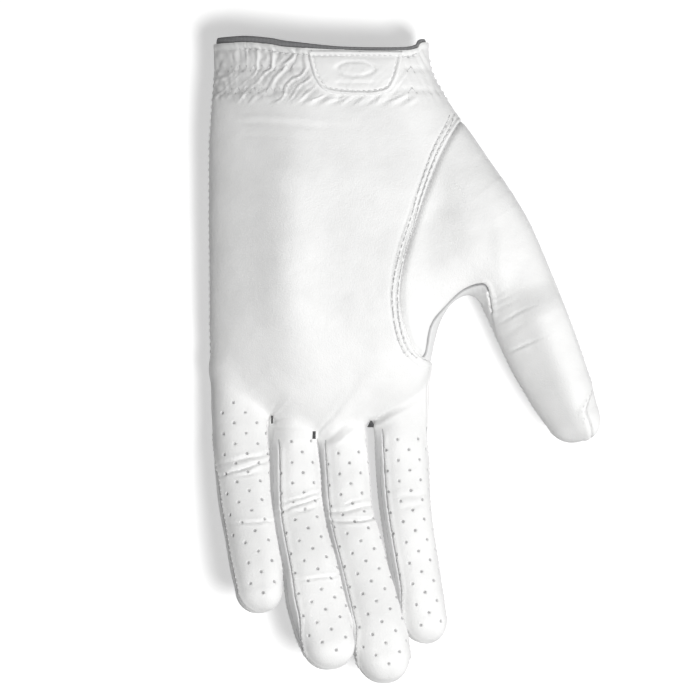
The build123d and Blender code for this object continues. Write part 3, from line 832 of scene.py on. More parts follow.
class Pits:
    """Round pits: centres, radii at which the skin is cut, depth, and the darkness painted on the floor as
    shade.
    """

    def __init__(self, centres, radii, depth, dark):
        self.centres, self.radii, self.depth, self.dark = centres, radii, depth, dark

    def field(self, p):
        """Distance to the nearest centre."""
        best = np.full(len(p), 50.0)
        low, high = p.min(0) - 2, p.max(0) + 2
        near = self.centres[((self.centres > low) & (self.centres < high)).all(1)]
        cell = 6.0
        keys = np.floor(p / cell).astype(int)
        lowest = keys.min(0) - 1
        size = keys.max(0) + 3 - lowest
        flat = ((keys - lowest) * (size[1] * size[2], size[2], 1)).sum(1)
        order = np.argsort(flat)
        flat = flat[order]
        for c in near:
            k = np.floor(c / cell).astype(int) - lowest
            for i in (-1, 0, 1):
                for j in (-1, 0, 1):
                    row = (k[0] + i) * size[1] * size[2] + (k[1] + j) * size[2] + k[2]
                    a, b = np.searchsorted(flat, (row - 1, row + 2))
                    some = order[a:b]
                    best[some] = np.minimum(best[some], np.linalg.norm(p[some] - c, axis=1))
        return best


# for each finger: length along the stall of the first row, and how much later it starts in each next column
PIT_STARTS = {"little": (8.5, 3.2), "ring": (17.0, 0.0), "middle": (21.0, 0.0), "index": (21.0, 0.0)}
PIT_SPREAD, PIT_SPREAD_LOST = 0.92, 0.55  # half angle that the pits take up, and how much is lost at the tip


def perforation_centres():
    """Places of the perforations on the fronts of the fingers, in staggered rows."""
    found = []
    for name, (first, slant) in PIT_STARTS.items():
        stall = stalls[name]
        for column in range(-3, 4):
            along = np.arange(first + PIT_ROWS / 2 * (column % 2), stall.total - 3.0, PIT_ROWS)
            along = along[along > first + slant * (column + 2)]
            angle = math.pi / 2 - column * PIT_COLUMNS / stall.size_at(along)
            closing = smoothstep(along, stall.total - 12, stall.total)
            inside = np.abs(angle - math.pi / 2) < PIT_SPREAD - PIT_SPREAD_LOST * closing
            if inside.any():
                p, _ = land(stall.point(along[inside], angle[inside]), ["thumb", name])
                found.append(p)
    return np.vstack(found)


# ------------------------------------------------------------------ sewing


def resample(points, pitch):
    """Points every pitch along a polyline."""
    length = np.concatenate([[0], np.cumsum(np.linalg.norm(np.diff(points, axis=0), axis=1))])
    at = (np.arange(max(int(length[-1] / pitch), 1)) + 0.5) * pitch
    return np.column_stack([np.interp(at, length, points[:, k]) for k in range(3)])


class Row:
    """A row of stitches: their middles on the leather, two directions, the relief that they sit on, their
    length and thickness, and how high over the leather they lie."""

    def __init__(self, base, way, forward, relief, length, thread, lift):
        self.base, self.way, self.forward = base, way, forward
        self.relief, self.length, self.thread, self.lift = relief, length, thread, lift

    def holes(self):
        """Where the thread goes through the leather."""
        half = self.forward * (self.length * 0.5 + 0.12)
        return np.vstack([self.base + half, self.base - half])

    def keep(self, mask):
        """The same row with only some of its stitches."""
        length = self.length if np.isscalar(self.length) else self.length[mask]
        kept = (self.base[mask], self.way[mask], self.forward[mask])
        return Row(*kept, self.relief, length, self.thread, self.lift)


def sewn_row(points, names, relief, pitch, length, thread=THREAD, zigzag=0.0, lift=0.0):
    """A row of stitches on the leather along a rough line of points, straight or in a zigzag."""
    base, way = land(resample(land(points, names)[0], pitch), names, 1)
    forward = unit(np.gradient(base, axis=0))
    if zigzag:
        side = np.where(np.arange(len(base)) % 2, 1, -1)[:, None]
        corners, _ = land(base + side * zigzag * unit(np.cross(way, forward)), names, 1)
        base, way = land((corners[1:] + corners[:-1]) / 2, names, 1)
        forward = unit(np.diff(corners, axis=0))
        length = 0.92 * np.linalg.norm(np.diff(corners, axis=0), axis=1)[:, None]
    forward = unit(forward - (forward * way).sum(1)[:, None] * way)
    return Row(base, way, forward, relief, length, thread, lift)


def hand_row(points, relief=None, **stitch):
    """A row of stitches on the hand and thumb, over the palm's relief unless another is given."""
    return sewn_row(points, ["thumb"], relief or root_relief, **stitch)


def thread_mesh(rows):
    """Every stitch as a short thread that arches out of the leather and dives back in."""
    verts, faces, offset = [], [], 0
    sides, rings = 6, 5
    turn = np.arange(sides) * 2 * math.pi / sides
    for row in rows:
        n = len(row.base)
        if not n:
            continue
        rise = row.relief(row.base, row.way)[:, None] + row.lift
        middles = row.base + rise * row.way
        across = np.cross(row.way, row.forward)
        for s in np.linspace(-1, 1, rings):
            arch = row.way * (row.thread * (0.95 - 1.8 * s**4))
            centre = middles + row.forward * (s * row.length / 2) + arch
            radius = row.thread * (1 - 0.3 * s**4)
            for t in turn:
                verts.append(centre + radius * (across * math.cos(t) + row.way * math.sin(t)))
        start = offset + np.arange(n)
        loops = []
        for r in range(rings - 1):
            for k in range(sides):
                k2 = (k + 1) % sides
                loops.append((r * sides + k, r * sides + k2, (r + 1) * sides + k2, (r + 1) * sides + k))
        for r, order in ((0, -1), (rings - 1, 1)):
            for k in (1, 3):
                loops.append(tuple(r * sides + c for c in (0, k, k + 1, (k + 2) % sides))[::order])
        faces += [np.column_stack([start + i * n for i in ids]) for ids in loops]
        offset += n * sides * rings
    return np.vstack(verts), np.vstack(faces)


def line_of(x, y, z):
    """Points from X, Y and Z, of which some may be the same all along."""
    return np.column_stack(np.broadcast_arrays(x, y, z))


def beside(curve, distance, first=0.0, last=1.0):
    """Points at a distance to the right of a flat curve, between two shares of its length."""
    at = np.linspace(first, last, 120) * curve.length[-1]
    p = curve.at(at)
    d = unit(np.gradient(p, axis=0))
    return p + distance * np.column_stack([d[:, 1], -d[:, 0]])


def root_rows():
    """Rows of stitches that stay with the palm, by the name of their piece."""
    rows = {"thumb_seam_stitches": [], "cuff_stitches": [], "side_seam_stitches": [], "elastic_stitches": []}
    for distance in THUMB_STITCHES:
        line = line_of(*beside(thumb_seam, distance, 0.02, 0.885).T, 27.0)
        rows["thumb_seam_stitches"].append(hand_row(line, pitch=STITCH_PITCH, length=STITCH_LENGTH))
    x = np.linspace(-37.5, 33, 90)
    edge = np.interp(x, cuff_edge.p[:, 0], cuff_edge.p[:, 1]) - CUFF_STITCHES
    rows["cuff_stitches"].append(hand_row(line_of(x, edge, 28.0), pitch=2.15, length=1.35))
    for far, low in ((-45.0, -57.0), (42.0, 50.0)):
        y = np.linspace(70.0, low, 100)
        line = line_of(far, y, side_seam_height(y) + 1.5)
        rows["side_seam_stitches"].append(hand_row(line, pitch=STITCH_PITCH, length=1.5))
    for y in ZIGZAG_ROWS:
        for first, last in ((-36.5, -9.5), (28.5, 34.5)):
            line = line_of(np.linspace(first, last, 40), y, ABOVE_Z)
            row = hand_row(line, pitch=1.45, length=STITCH_LENGTH, thread=0.13, zigzag=0.8)
            rows["elastic_stitches"].append(row)
    return rows


def stall_rows(stall):
    """Lines for the stitches along the seams of a stall: lengths along it and angles round it."""
    first = np.interp(stall.start, stall.beyond(stall.c), stall.length) + 2.0
    along = np.linspace(first, stall.total - 5.0, 120)
    size = stall.size_at(along)
    lines = []
    spread = STRIP_HALF_ANGLE * strip_taper(stall, along) + 1.0 / size
    for which in stall.strips:
        for angle in (spread, -spread):
            lines.append((along, angle if which == "inner" else math.pi - angle))
    for side in PLAIN_SIDES[stall.name]:
        angle = 1.1 / size - front_turn(stall, along, side > 0)
        lines.append((along, angle if side > 0 else math.pi - angle))
    return lines


# ------------------------------------------------------------------ materials


class Look:
    """A material in the making: a shader, and the nodes that feed it."""

    def __init__(self, name, colour, roughness):
        self.material = bpy.data.materials.new(name)
        self.material.use_nodes = True
        self.tree = self.material.node_tree
        self.finish({"Base Color": (*colour, 1), "Roughness": roughness})

    def feed(self, node, inputs):
        """Sets a node's inputs, each to a number, a colour or another node's output."""
        for key, value in inputs.items():
            if isinstance(value, bpy.types.NodeSocket):
                self.tree.links.new(value, node.inputs[key])
            else:
                node.inputs[key].default_value = value

    def node(self, kind, output, inputs, **settings):
        """One output of a new node."""
        node = self.tree.nodes.new(f"ShaderNode{kind}")
        for key, value in settings.items():
            setattr(node, key, value)
        self.feed(node, inputs)
        return node.outputs[output]

    def texture(self, scale, detail, kind="TexNoise", output="Fac"):
        """A noise texture, or one of another kind, that is fixed to the object."""
        place = self.node("TexCoord", "Object", {})
        return self.node(kind, output, {"Vector": place, "Scale": scale, "Detail": detail})

    def ramp(self, source, *stops):
        """Colours between two stops, each a position and a colour."""
        colours = self.node("ValToRGB", "Color", {"Fac": source})
        for element, (position, colour) in zip(colours.node.color_ramp.elements, stops):
            element.position = position
            element.color = (*colour, 1)
        return colours

    def bump(self, height, strength, distance):
        """Fine relief of the surface."""
        return self.node("Bump", "Normal", {"Height": height, "Strength": strength, "Distance": distance})

    def finish(self, inputs):
        """Sets the shader's inputs and returns the material."""
        self.feed(self.tree.nodes["Principled BSDF"], inputs)
        return self.material


# colour of the painted shade in pits, seam valleys and between gathers, and of the dark seam lines
PAINTED_SHADE_COLOUR = (0.10, 0.10, 0.105, 1)


def leather(name, colour, roughness=0.5, grain=0.5, pits=True):
    """Fine-grained glove leather: pebble and pore bump, faint mottling, and a vertex attribute that mixes in
    painted shade for the pits, seam valleys and gathers, and the dark seam lines.
    """
    look = Look(name, colour, roughness)
    pebble = look.texture(1500, 4.0, "TexVoronoi", "Distance")
    pores = look.texture(2600, 3.0)
    creases = look.texture(260, 6.0)
    fine = look.node("Math", "Value", {0: pebble, 1: 0.55, 2: pores}, operation="MULTIPLY_ADD")
    height = look.node("Math", "Value", {0: creases, 1: 1.6, 2: fine}, operation="MULTIPLY_ADD")
    dull = tuple(0.93 * c for c in colour)
    shown = look.ramp(look.texture(55, 5.0), (0.35, dull), (0.62, colour))
    # mixes in the painted shade and dark seam lines from the vertex attribute
    if pits:
        pit = look.node("Attribute", "Fac", {}, attribute_name="pit")
        shown = look.node("Mix", "Result", {"Factor": pit, "A": shown, "B": PAINTED_SHADE_COLOUR}, data_type="RGBA")
    span = {"Value": creases, "To Min": roughness - 0.07, "To Max": roughness + 0.09}
    return look.finish({
        "Base Color": shown, "Roughness": look.node("MapRange", "Result", span),
        "Normal": look.bump(height, grain, 0.00016), "Specular IOR Level": 0.4,
        "Sheen Weight": 0.12, "Sheen Roughness": 0.5,
    })


def woven(name, colour, dark, scale, roughness=0.85, strength=0.7):
    """Woven or knitted tape: crossing ribs in colour and bump."""
    look = Look(name, colour, roughness)
    wave = {"Vector": look.node("TexCoord", "Object", {}), "Scale": scale / 6.3, "Distortion": 0.6}
    ribs = [look.node("TexWave", "Fac", wave, bands_direction=axis) for axis in ("X", "Y")]
    cross = look.node("Math", "Value", {0: ribs[0], 1: ribs[1]}, operation="MULTIPLY")
    shown = look.ramp(cross, (0.05, dark), (0.6, colour))
    normal = look.bump(cross, strength, 0.00015)
    return look.finish({"Base Color": shown, "Normal": normal, "Sheen Weight": 0.2})


WHITE = (0.83, 0.83, 0.825)
materials = {
    "leather": leather("glove_leather", WHITE),
    "back": leather("back_leather", (0.82, 0.82, 0.815)),
    "strip": leather("strip_leather", (0.80, 0.80, 0.80), 0.58, 0.3),
    "patch": leather("patch_leather", (0.84, 0.84, 0.835), 0.47, 0.4),
    "suede": leather("suede_side", (0.66, 0.655, 0.64), 0.9, 0.8, pits=False),
    "thread": woven("sewing_thread", (0.83, 0.83, 0.83), (0.62, 0.62, 0.62), 5200, 0.7),
    # near-black thread of the fork tacks, painted shade of the forks
    "dark_thread": woven("bar_tack_thread", (0.12, 0.12, 0.125), (0.04, 0.04, 0.04), 5200, 0.8),
    "binding": woven("binding_tape", (0.30, 0.30, 0.305), (0.14, 0.14, 0.145), 4200, 0.85, 0.5),
    "elastic": woven("elastic_tape", (0.78, 0.78, 0.77), (0.52, 0.52, 0.51), 2000, 0.85),
    "loop": woven("loop_tape", (0.72, 0.72, 0.72), (0.45, 0.45, 0.45), 3600, 0.95, 1.0),
    "hook": woven("hook_tape", (0.70, 0.70, 0.70), (0.35, 0.35, 0.35), 3200, 0.6, 1.0),
    "label": woven("label_tape", (0.80, 0.80, 0.79), (0.70, 0.70, 0.69), 4200, 0.6),
}


# ------------------------------------------------------------------ Blender objects


def add_mesh(name, verts, faces, material_names, slots=None, loop_normals=None):
    """A smooth mesh object from millimetre vertices and an array of faces, all with as many corners."""
    mesh = bpy.data.meshes.new(name)
    mesh.vertices.add(len(verts))
    mesh.vertices.foreach_set("co", (verts * MM).astype(np.float32).ravel())
    mesh.loops.add(faces.size)
    mesh.loops.foreach_set("vertex_index", faces.astype(np.int32).ravel())
    mesh.polygons.add(len(faces))
    starts = np.arange(len(faces)) * faces.shape[1]
    mesh.polygons.foreach_set("loop_start", starts.astype(np.int32))
    mesh.polygons.foreach_set("use_smooth", np.ones(len(faces), bool))
    for m in material_names:
        mesh.materials.append(materials[m])
    if slots is not None:
        mesh.polygons.foreach_set("material_index", slots.astype(np.int32))
    mesh.update(calc_edges=True)
    mesh.validate()
    if loop_normals is not None:
        mesh.normals_split_custom_set(loop_normals.astype(np.float32))
    thing = bpy.data.objects.new(name, mesh)
    bpy.context.scene.collection.objects.link(thing)
    return thing


def open_edges(tris):
    """Directed edges that only one triangle has."""
    edges = tris[:, [0, 1, 1, 2, 2, 0]].reshape(-1, 2)
    plain = np.sort(edges, axis=1)
    _, index, count = np.unique(plain, axis=0, return_inverse=True, return_counts=True)
    return edges[count[index.reshape(-1)] == 1]


def shell(name, part, outer, inner, looks, pit=None):
    """A closed piece between two offsets of a skin, with a rim round it."""
    n = len(part["base"])
    tail, head = open_edges(part.tris).T
    side = np.vstack([np.column_stack([head, tail, tail + n]), np.column_stack([head, tail + n, head + n])])
    faces = np.vstack([part.tris, part.tris[:, ::-1] + n, side])
    verts = np.vstack([part["base"] + offset[:, None] * part["way"] for offset in (outer, inner)])
    part["shown"] = verts[:n]
    normal = part["normal"] if pit is not None else part.normals("shown")
    a, b, c = (verts[side[:, k]] for k in range(3))
    rim_way = unit(np.cross(b - a, c - a))
    inward = -part["way"][part.tris[:, ::-1]]
    corners = [normal[part.tris].reshape(-1, 3), inward.reshape(-1, 3), np.repeat(rim_way, 3, axis=0)]
    slots = np.concatenate([np.zeros(len(part.tris)), np.full(len(part.tris) + len(side), len(looks) - 1)])
    thing = add_mesh(name, verts, faces, looks, slots, np.vstack(corners))
    # the painted shade of pits, seam valleys and gathers, and the dark seam lines, kept as a vertex
    # attribute
    if pit is not None:
        dark = thing.data.attributes.new("pit", "FLOAT", "POINT")
        dark.data.foreach_set("value", np.concatenate([pit, np.zeros(n)]).astype(np.float32))
    return thing


def dress(thing, nodes, slot):
    """Hides the CAD nodes that a piece stands for; the slot of its finish is not used."""
    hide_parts(*nodes)
    return thing


def sew(name, rows, body=None):
    """One piece of thread for some rows of stitches, on a body if one is named."""
    thing = add_mesh(name, *thread_mesh(rows), ["thread"])
    if body:
        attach(thing, body)
    return thing


def leather_piece(name, skin, mask, look, nodes, slot):
    """A panel of leather: its worked outer face, a suede inner face, and its cut edge."""
    part = skin.keep(mask)
    inner = np.minimum(part["rise"], 0) - SKIN
    return dress(shell(name, part, part["rise"], inner, [look, "suede"], part["pit"]), nodes, slot)


def bend(thing, stall, segment):
    """Bakes a stall piece's place into its mesh. The bodies and the span of its bend at the knuckle (base)
    or at the middle joint (end) are worked out but not used.
    """
    base, end = f"{stall.name}_base", f"{stall.name}_end"
    reach = min(BEND_REACH, stall.reach - stall.split)
    clear = 0.2  # keeps the span of a piece's bend off the cut between base and end
    span = (stall.reach - reach + clear, stall.reach + reach)
    if segment == "base":
        span = (stall.start, stall.split - clear)
    first, last = ((stall.knuckle + t * stall.way) * MM for t in span)
    bodies = ("root", base) if segment == "base" else (base, end)
    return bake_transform(thing, *bodies, start=tuple(first), end=tuple(last))


# ------------------------------------------------------------------ the leather pieces


def work_skin(skin, relief, pits, seams):
    """Cuts a skin at its pits and seams, displaces it by its relief, and works out its normals for shading
    and the shade painted on the pits' floors.
    """
    for group in pits:
        skin.cut(group.field, *group.radii)
    for field in seams:
        skin.cut_seam(field(skin["base"]))
    rise, pit = relief(skin["base"], skin["way"]), np.zeros(len(skin["base"]))
    # each pit's floor sinks, and shade is painted on it
    for group in pits:
        floor = 1 - smoothstep(group.field(skin["base"]), group.radii[-1] * 0.9, group.radii[0])
        rise -= group.depth * floor
        pit = np.maximum(pit, group.dark * floor)
    skin["rise"], skin["pit"] = rise, pit
    skin["out"] = skin["base"] + rise[:, None] * skin["way"]
    skin["normal"] = skin.normals("out")


def darken(skin, field, dark):
    """A dark band along a seam, painted into the leather's colour. It gives the dark seam lines, and the
    callers also use it for painted shade in the thumb seam's valley and a painted shadow at the cuff's
    corner.
    """
    skin["pit"] = np.maximum(skin["pit"], dark * np.clip(1 - np.abs(field) / SEAM_HALF, 0, 1))


def thumb_side(p):
    """Distance into the thumb piece."""
    return -thumb_seam.locate(p[:, :2])[0]


def web_side(p):
    """Distance into the gusset of the web, counted inside the thumb piece only."""
    return np.where(thumb_side(p) > -1.5, web_seam.locate(p[:, :2])[0], -9.0)


def over_side_seam(p):
    """Height over the seam between palm and back."""
    return p[:, 2] - side_seam_height(p[:, 1])


def slit_side(p):
    """Distance outside the V of the slit in the back."""
    end = 0.8  # half width at the foot
    half = end + (SLIT_MOUTH / 2 - end) * np.clip((p[:, 1] - SLIT_FOOT) / SLIT_LENGTH, 0, 1.1)
    return np.where(p[:, 2] < 12, np.maximum(np.abs(p[:, 0] - SLIT_X) - half, SLIT_FOOT - p[:, 1]), 9.0)


def past_start(stall, p):
    """Length past the plane where a stall starts, in the region of the fingers or of the thumb."""
    near = p[:, 0] > THUMB_X if stall.name == "thumb" else p[:, 1] < STALLS_Y
    return np.where(near, stall.beyond(p) - stall.start, -5.0)


def past_knuckles(p):
    """Whether points belong to a stall and not to the hand."""
    nearest = np.argmin([stalls[name].distance(p) for name in FINGERS], axis=0)
    gone = np.zeros(len(p), bool)
    for stall in stalls.values():
        own = stall.name == "thumb" or nearest == FINGERS.index(stall.name)
        gone |= own & (past_start(stall, p) > 0)
    return gone


def paint_root_shade(skin):
    """Painted shade in the thumb seam's valley and between the gathers, dark lines along the web and side
    seams, and a painted shadow at the cuff's corner.
    """
    base = skin["base"]
    front = base[:, 2] > FRONT_Z
    valley = thumb_side(base)
    # painted shade in the thumb seam's valley, stronger towards the web
    darken(skin, np.where(front, valley, 9), 0.12 + 0.3 * smoothstep(base[:, 1], -30, -8))
    in_valley = (1 - smoothstep(valley, 0.9, 1.5)) * (valley > -0.1) * front
    skin["pit"] = np.maximum(skin["pit"], 0.3 * smoothstep(base[:, 1], -26, 4) * in_valley)
    # a dark line along the web seam
    darken(skin, np.where(front & (valley > 0.3), 0.65 * web_side(base), 9), 0.95)
    # a dark line along the side seam, with a painted shadow where it meets the cuff on the little finger's
    # side
    cuff_corner_shadow = smoothstep(base[:, 1], 56, 62) * (base[:, 0] < 0)
    darken(skin, over_side_seam(base), 0.25 + 0.6 * cuff_corner_shadow)
    # painted shade between the gathers at the cuff, where the gathers are low
    gathered = front * smoothstep(base[:, 1], 52, 57) * (1 - in_patch(base))
    gathered = gathered * smoothstep(-base[:, 0], -30, 8)
    low = np.clip(0.4 - 1.2 * cuff_gathers(base), 0, 1)
    skin["pit"] = np.maximum(skin["pit"], 0.32 * gathered * low)


def cut_root(skin):
    """Cuts the hand at the knuckles, between the fingers, at the cuff, the slit and the patch's rim."""
    for stall in stalls.values():
        skin.cut(lambda p, stall=stall: past_start(stall, p), 0.0)
    for left, right in zip(FINGERS, FINGERS[1:]):
        lead = stalls[left].distance(skin["base"]) - stalls[right].distance(skin["base"])
        skin.split(np.where(skin["base"][:, 1] < FORKS_Y, lead, -5.0))
    skin.cut(lambda p: p[:, 1] - cuff_height(p), 0.0)
    skin.cut(slit_side, 0.0)
    rim = (0.0, 0.55, 1.1, PATCH_STITCHES, 1.8)
    skin.cut(lambda p: np.where(p[:, 2] > PALM_Z, patch_field(p[:, :2]), -9.0), *rim)


def build_root(pits):
    """Palm, back, thumb piece, web gusset, wrist patch and elastics, cut from one skin."""
    skin = mesh_skin((-44, -72, -1.5), (88, 79, 36), ["thumb", *FINGERS])
    work_skin(skin, root_relief, pits, [thumb_side, web_side, over_side_seam])
    paint_root_shade(skin)
    cut_root(skin)
    c = skin.centre()
    keep = (c[:, 1] < cuff_height(c)) & ~past_knuckles(c) & (slit_side(c) > 0)
    upper = over_side_seam(c) > 0
    in_thumb = thumb_side(c) > 0
    gusset = in_thumb & (web_side(c) > 0)
    for name, mask, look, node, slot in (
        ("palm_panel", upper & ~in_thumb, "leather", "palm_leather", "palm_leather"),
        ("back_panel", ~upper & ~in_thumb, "back", "back_leather", "back_leather"),
        ("thumb_panel_front", upper & in_thumb & ~gusset, "leather", "thumb_piece_front", "palm_leather"),
        ("thumb_panel_back", ~upper & in_thumb & ~gusset, "back", "thumb_piece_back", "back_leather"),
        ("thumb_gusset", gusset, "strip", "thumb_web_gusset", "side_strip_leather"),
    ):
        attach(leather_piece(name, skin, mask & keep, look, [node], slot), "root")
    build_patch(skin.keep((patch_field(c[:, :2]) > 0) & (c[:, 2] > PALM_Z)))
    build_elastics(skin)


def build_elastics(skin):
    """The two bands of elastic inside the palm's leather at the wrist."""
    c = skin.centre()
    for name, (middle, half) in ELASTIC_BANDS.items():
        part = skin.keep((np.abs(c[:, 1] - middle) < half) & (c[:, 2] > 17) & (np.abs(c[:, 0]) < 33))
        deep = np.minimum(part["rise"], 0) - SKIN
        thing = shell(f"elastic_band_{name}", part, deep - 0.1, deep - 0.8, ["elastic"])
        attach(dress(thing, [f"wrist_elastic_{name}"], "elastic"), "root")


MARK_X, RING_Y, BAR_Y = 10.6, 64.2, 59.2  # middle of the pressed mark, and heights of its oval and its bar
RING_HALF, BAR_HALF = (6.4, 2.5), 6.0  # half sizes of the oval, half length of the bar


def patch_mark(p):
    """The mark pressed into the patch: a plain oval ring over a bar."""
    x, y = p[:, 0] - MARK_X, p[:, 1] - RING_Y
    ring = (np.hypot(x / RING_HALF[0], y / RING_HALF[1]) - 1) * RING_HALF[1]
    bar = np.hypot(np.maximum(np.abs(x) - BAR_HALF, 0), p[:, 1] - BAR_Y)
    return -0.42 * hump(ring, 0.36) - 0.3 * hump(bar, 0.4)


def build_patch(part):
    """The wrist patch: a padded piece with a raised rim, a sunk row of stitches and a pressed mark."""
    f = patch_field(part["base"][:, :2])
    pad = PATCH_THICK + 0.35 * hump(f - 0.6, 0.5) - 0.4 * hump(f - PATCH_STITCHES, 0.3)
    pad = pad + 0.25 * smoothstep(f, 1.8, 5.0)
    pad = pad * (0.55 + 0.45 * smoothstep(f, 0, 0.5)) + patch_mark(part["base"])
    pad = pad + 0.1 * value_noise(part["base"], 5.0, 9)
    thing = shell("wrist_patch_pad", part, part["rise"] + pad, part["rise"] + 0.02, ["patch"])
    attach(dress(thing, ["wrist_patch"], "patch_leather"), "root")
    round_rim = line_of(*beside(patch_curve, -PATCH_STITCHES, 0.11, 0.89).T, ABOVE_Z)
    top = line_of(np.linspace(-4.6, 25.4, 60), PATCH_TOP - PATCH_STITCHES, ABOVE_Z)
    sew("patch_stitches", [hand_row(line, **PATCH_STITCH) for line in (round_rim, top)], "root")


THUMB_SEAM_TONE, FINGER_SEAM_TONE = 0.3, 0.6  # how dark the valleys of a stall's seams are


def build_stall(stall, pits):
    """Front, back and side strips of a stall, each in a base piece and an end piece, and their stitches."""
    names = ["thumb"] if stall.name == "thumb" else ["thumb", stall.name]
    low, high = stall.c.min(0) - stall.a.max() - 4, stall.c.max(0) + stall.a.max() + 4
    low[2] = -1.5
    high[1] = (stall.knuckle + stall.way * stall.start)[1] + 6
    if stall.name == "thumb":
        low[:2], high[:2] = (THUMB_X, -70), (102, 4)
    low[1] = min(low[1], stall.c[-1, 1] - stall.cap - 3)
    skin = mesh_skin(low, high, names)
    relief = stall_relief(stall)
    seams = [lambda p: front_field(stall, stall.measure(p))]
    for which in stall.strips:
        seams.append(lambda p, which=which: strip_field(stall, which, stall.measure(p)))
    work_skin(skin, relief, pits, seams)
    measured = stall.measure(skin["base"])
    skin["front"] = front_field(stall, measured)
    dark = THUMB_SEAM_TONE if stall.name == "thumb" else FINGER_SEAM_TONE
    darken(skin, skin["front"] / np.maximum(front_seam_share(stall, measured), 0.01), dark)
    for which in stall.strips:
        skin[which] = strip_field(stall, which, measured)
        darken(skin, skin[which], FINGER_SEAM_TONE)
    skin.cut(stall.beyond, stall.start, stall.split)
    c = skin.centre()
    beyond = stall.beyond(c)
    shown = (stall.measure(c)[0] < 3.0) & (beyond > stall.start)
    segments = {"base": shown & (beyond < stall.split), "end": shown & (beyond >= stall.split)}
    masks, taken = {}, np.zeros(len(c), bool)
    for which in stall.strips:
        masks[f"{which}_strip"] = skin[which][skin.tris].mean(1) < 0
        taken |= masks[f"{which}_strip"]
    front = skin["front"][skin.tris].mean(1) > 0
    masks["front"], masks["back"] = front & ~taken, ~front & ~taken
    looks = {"front": ("leather", "palm_leather"), "back": ("back", "back_leather")}
    for segment, inside in segments.items():
        for key, mask in masks.items():
            look, slot = looks.get(key, ("strip", "side_strip_leather"))
            node = f"{stall.name}_{segment}_{key}"
            bend(leather_piece(f"{node}_skin", skin, mask & inside, look, [node], slot), stall, segment)
    sew_stall(stall, names, relief)


STALL_STITCH = {"pitch": 1.95, "length": 0.9, "thread": 0.11}  # finer than on the palm


def sew_stall(stall, names, relief):
    """The stitches along a stall's seams, in one piece for its base and one for its end."""
    groups = {"base": [], "end": []}
    for along, angle in stall_rows(stall):
        row = sewn_row(stall.point(along, angle), names, relief, **STALL_STITCH)
        beyond = stall.beyond(row.base)
        groups["base"].append(row.keep((beyond > stall.start + 0.5) & (beyond < stall.split)))
        groups["end"].append(row.keep(beyond >= stall.split))
    for segment, rows in groups.items():
        bend(sew(f"{stall.name}_{segment}_stitches", rows), stall, segment)


# ------------------------------------------------------------------ closure, binding and tacks


def tab_field(p, inset=0.0):
    """Distance inside the outline of the closure tab, which is round at its free end."""
    across = np.maximum(np.abs(p[:, 1] - TAB_MIDDLE) - (TAB_HALF - inset - TAB_ROUND), 0)
    along = np.maximum(TAB_TIP_X + inset + TAB_ROUND - p[:, 0], 0)
    return TAB_ROUND - np.hypot(across, along)


LOOP_END, TAB_END = SLIT_X - SLIT_MOUTH / 2 - SLIT_TAPE, TAB_HINGE_X - 0.4
# each layer's inset from the tab's outline, X at its ends, heights over the leather, look, node, slot, body
TAB_LAYERS = {
    "loop_pad": (2.0, TAB_TIP_X + 3, LOOP_END, 0.02, 0.82, "loop", "loop_patch", "loop_tape", "root"),
    "hook_pad": (3.2, TAB_TIP_X + 4, LOOP_END - 1, 0.88, 1.42, "hook", "hook_patch", "hook_tape",
                 "closure_tab"),
    "tab_underside": (0.35, TAB_TIP_X - 9, TAB_END, 1.42, 1.88, "label", "tab_lining", "tab_lining",
                      "closure_tab"),
    "tab_upper": (0.0, TAB_TIP_X - 9, TAB_END, 1.88, 2.6, "back", "tab_leather", "tab_leather",
                  "closure_tab"),
    "tab_root": (0.0, TAB_HINGE_X + 0.2, TAB_HINGE_X + TAB_ROOT, 0.02, 1.3, "back", "tab_anchor",
                 "tab_leather", "root"),
}


def build_closure():
    """The layers of the closure on the back of the wrist, and the label inside the cuff."""
    skin = mesh_skin((-37, 40, -1.5), (34, 77, 9.5), ["thumb"])
    skin["rise"] = slack(skin["base"])
    for name, (inset, low_x, high_x, inner, outer, look, node, slot, body) in TAB_LAYERS.items():
        layer = skin.copy()
        layer.cut(lambda p, inset=inset: tab_field(p, inset), 0.0, 0.5, 1.5, 1.9)
        layer.cut(lambda p: p[:, 0], low_x, high_x)
        c = layer.centre()
        inside = (tab_field(c, inset) > 0) & (c[:, 0] > low_x) & (c[:, 0] < high_x)
        part = layer.keep(inside & (c[:, 2] < BACK_Z))
        f = tab_field(part["base"], inset)
        soft = 0.25 * (smoothstep(f, 0, 0.6) - 1)
        if look == "back":
            soft = soft - 0.25 * hump(f - TAB_STITCHES, 0.3)
        thick = outer - inner > 0.6
        thing = shell(name, part, part["rise"] + outer + soft * thick, part["rise"] + inner, [look])
        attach(dress(thing, [node], slot), body)
    build_slit_tape(skin)
    build_label(skin)
    build_tab_stitches()


def slack_relief(p, way):
    """The relief of the tab, which has none of the seams under it."""
    return slack(p)


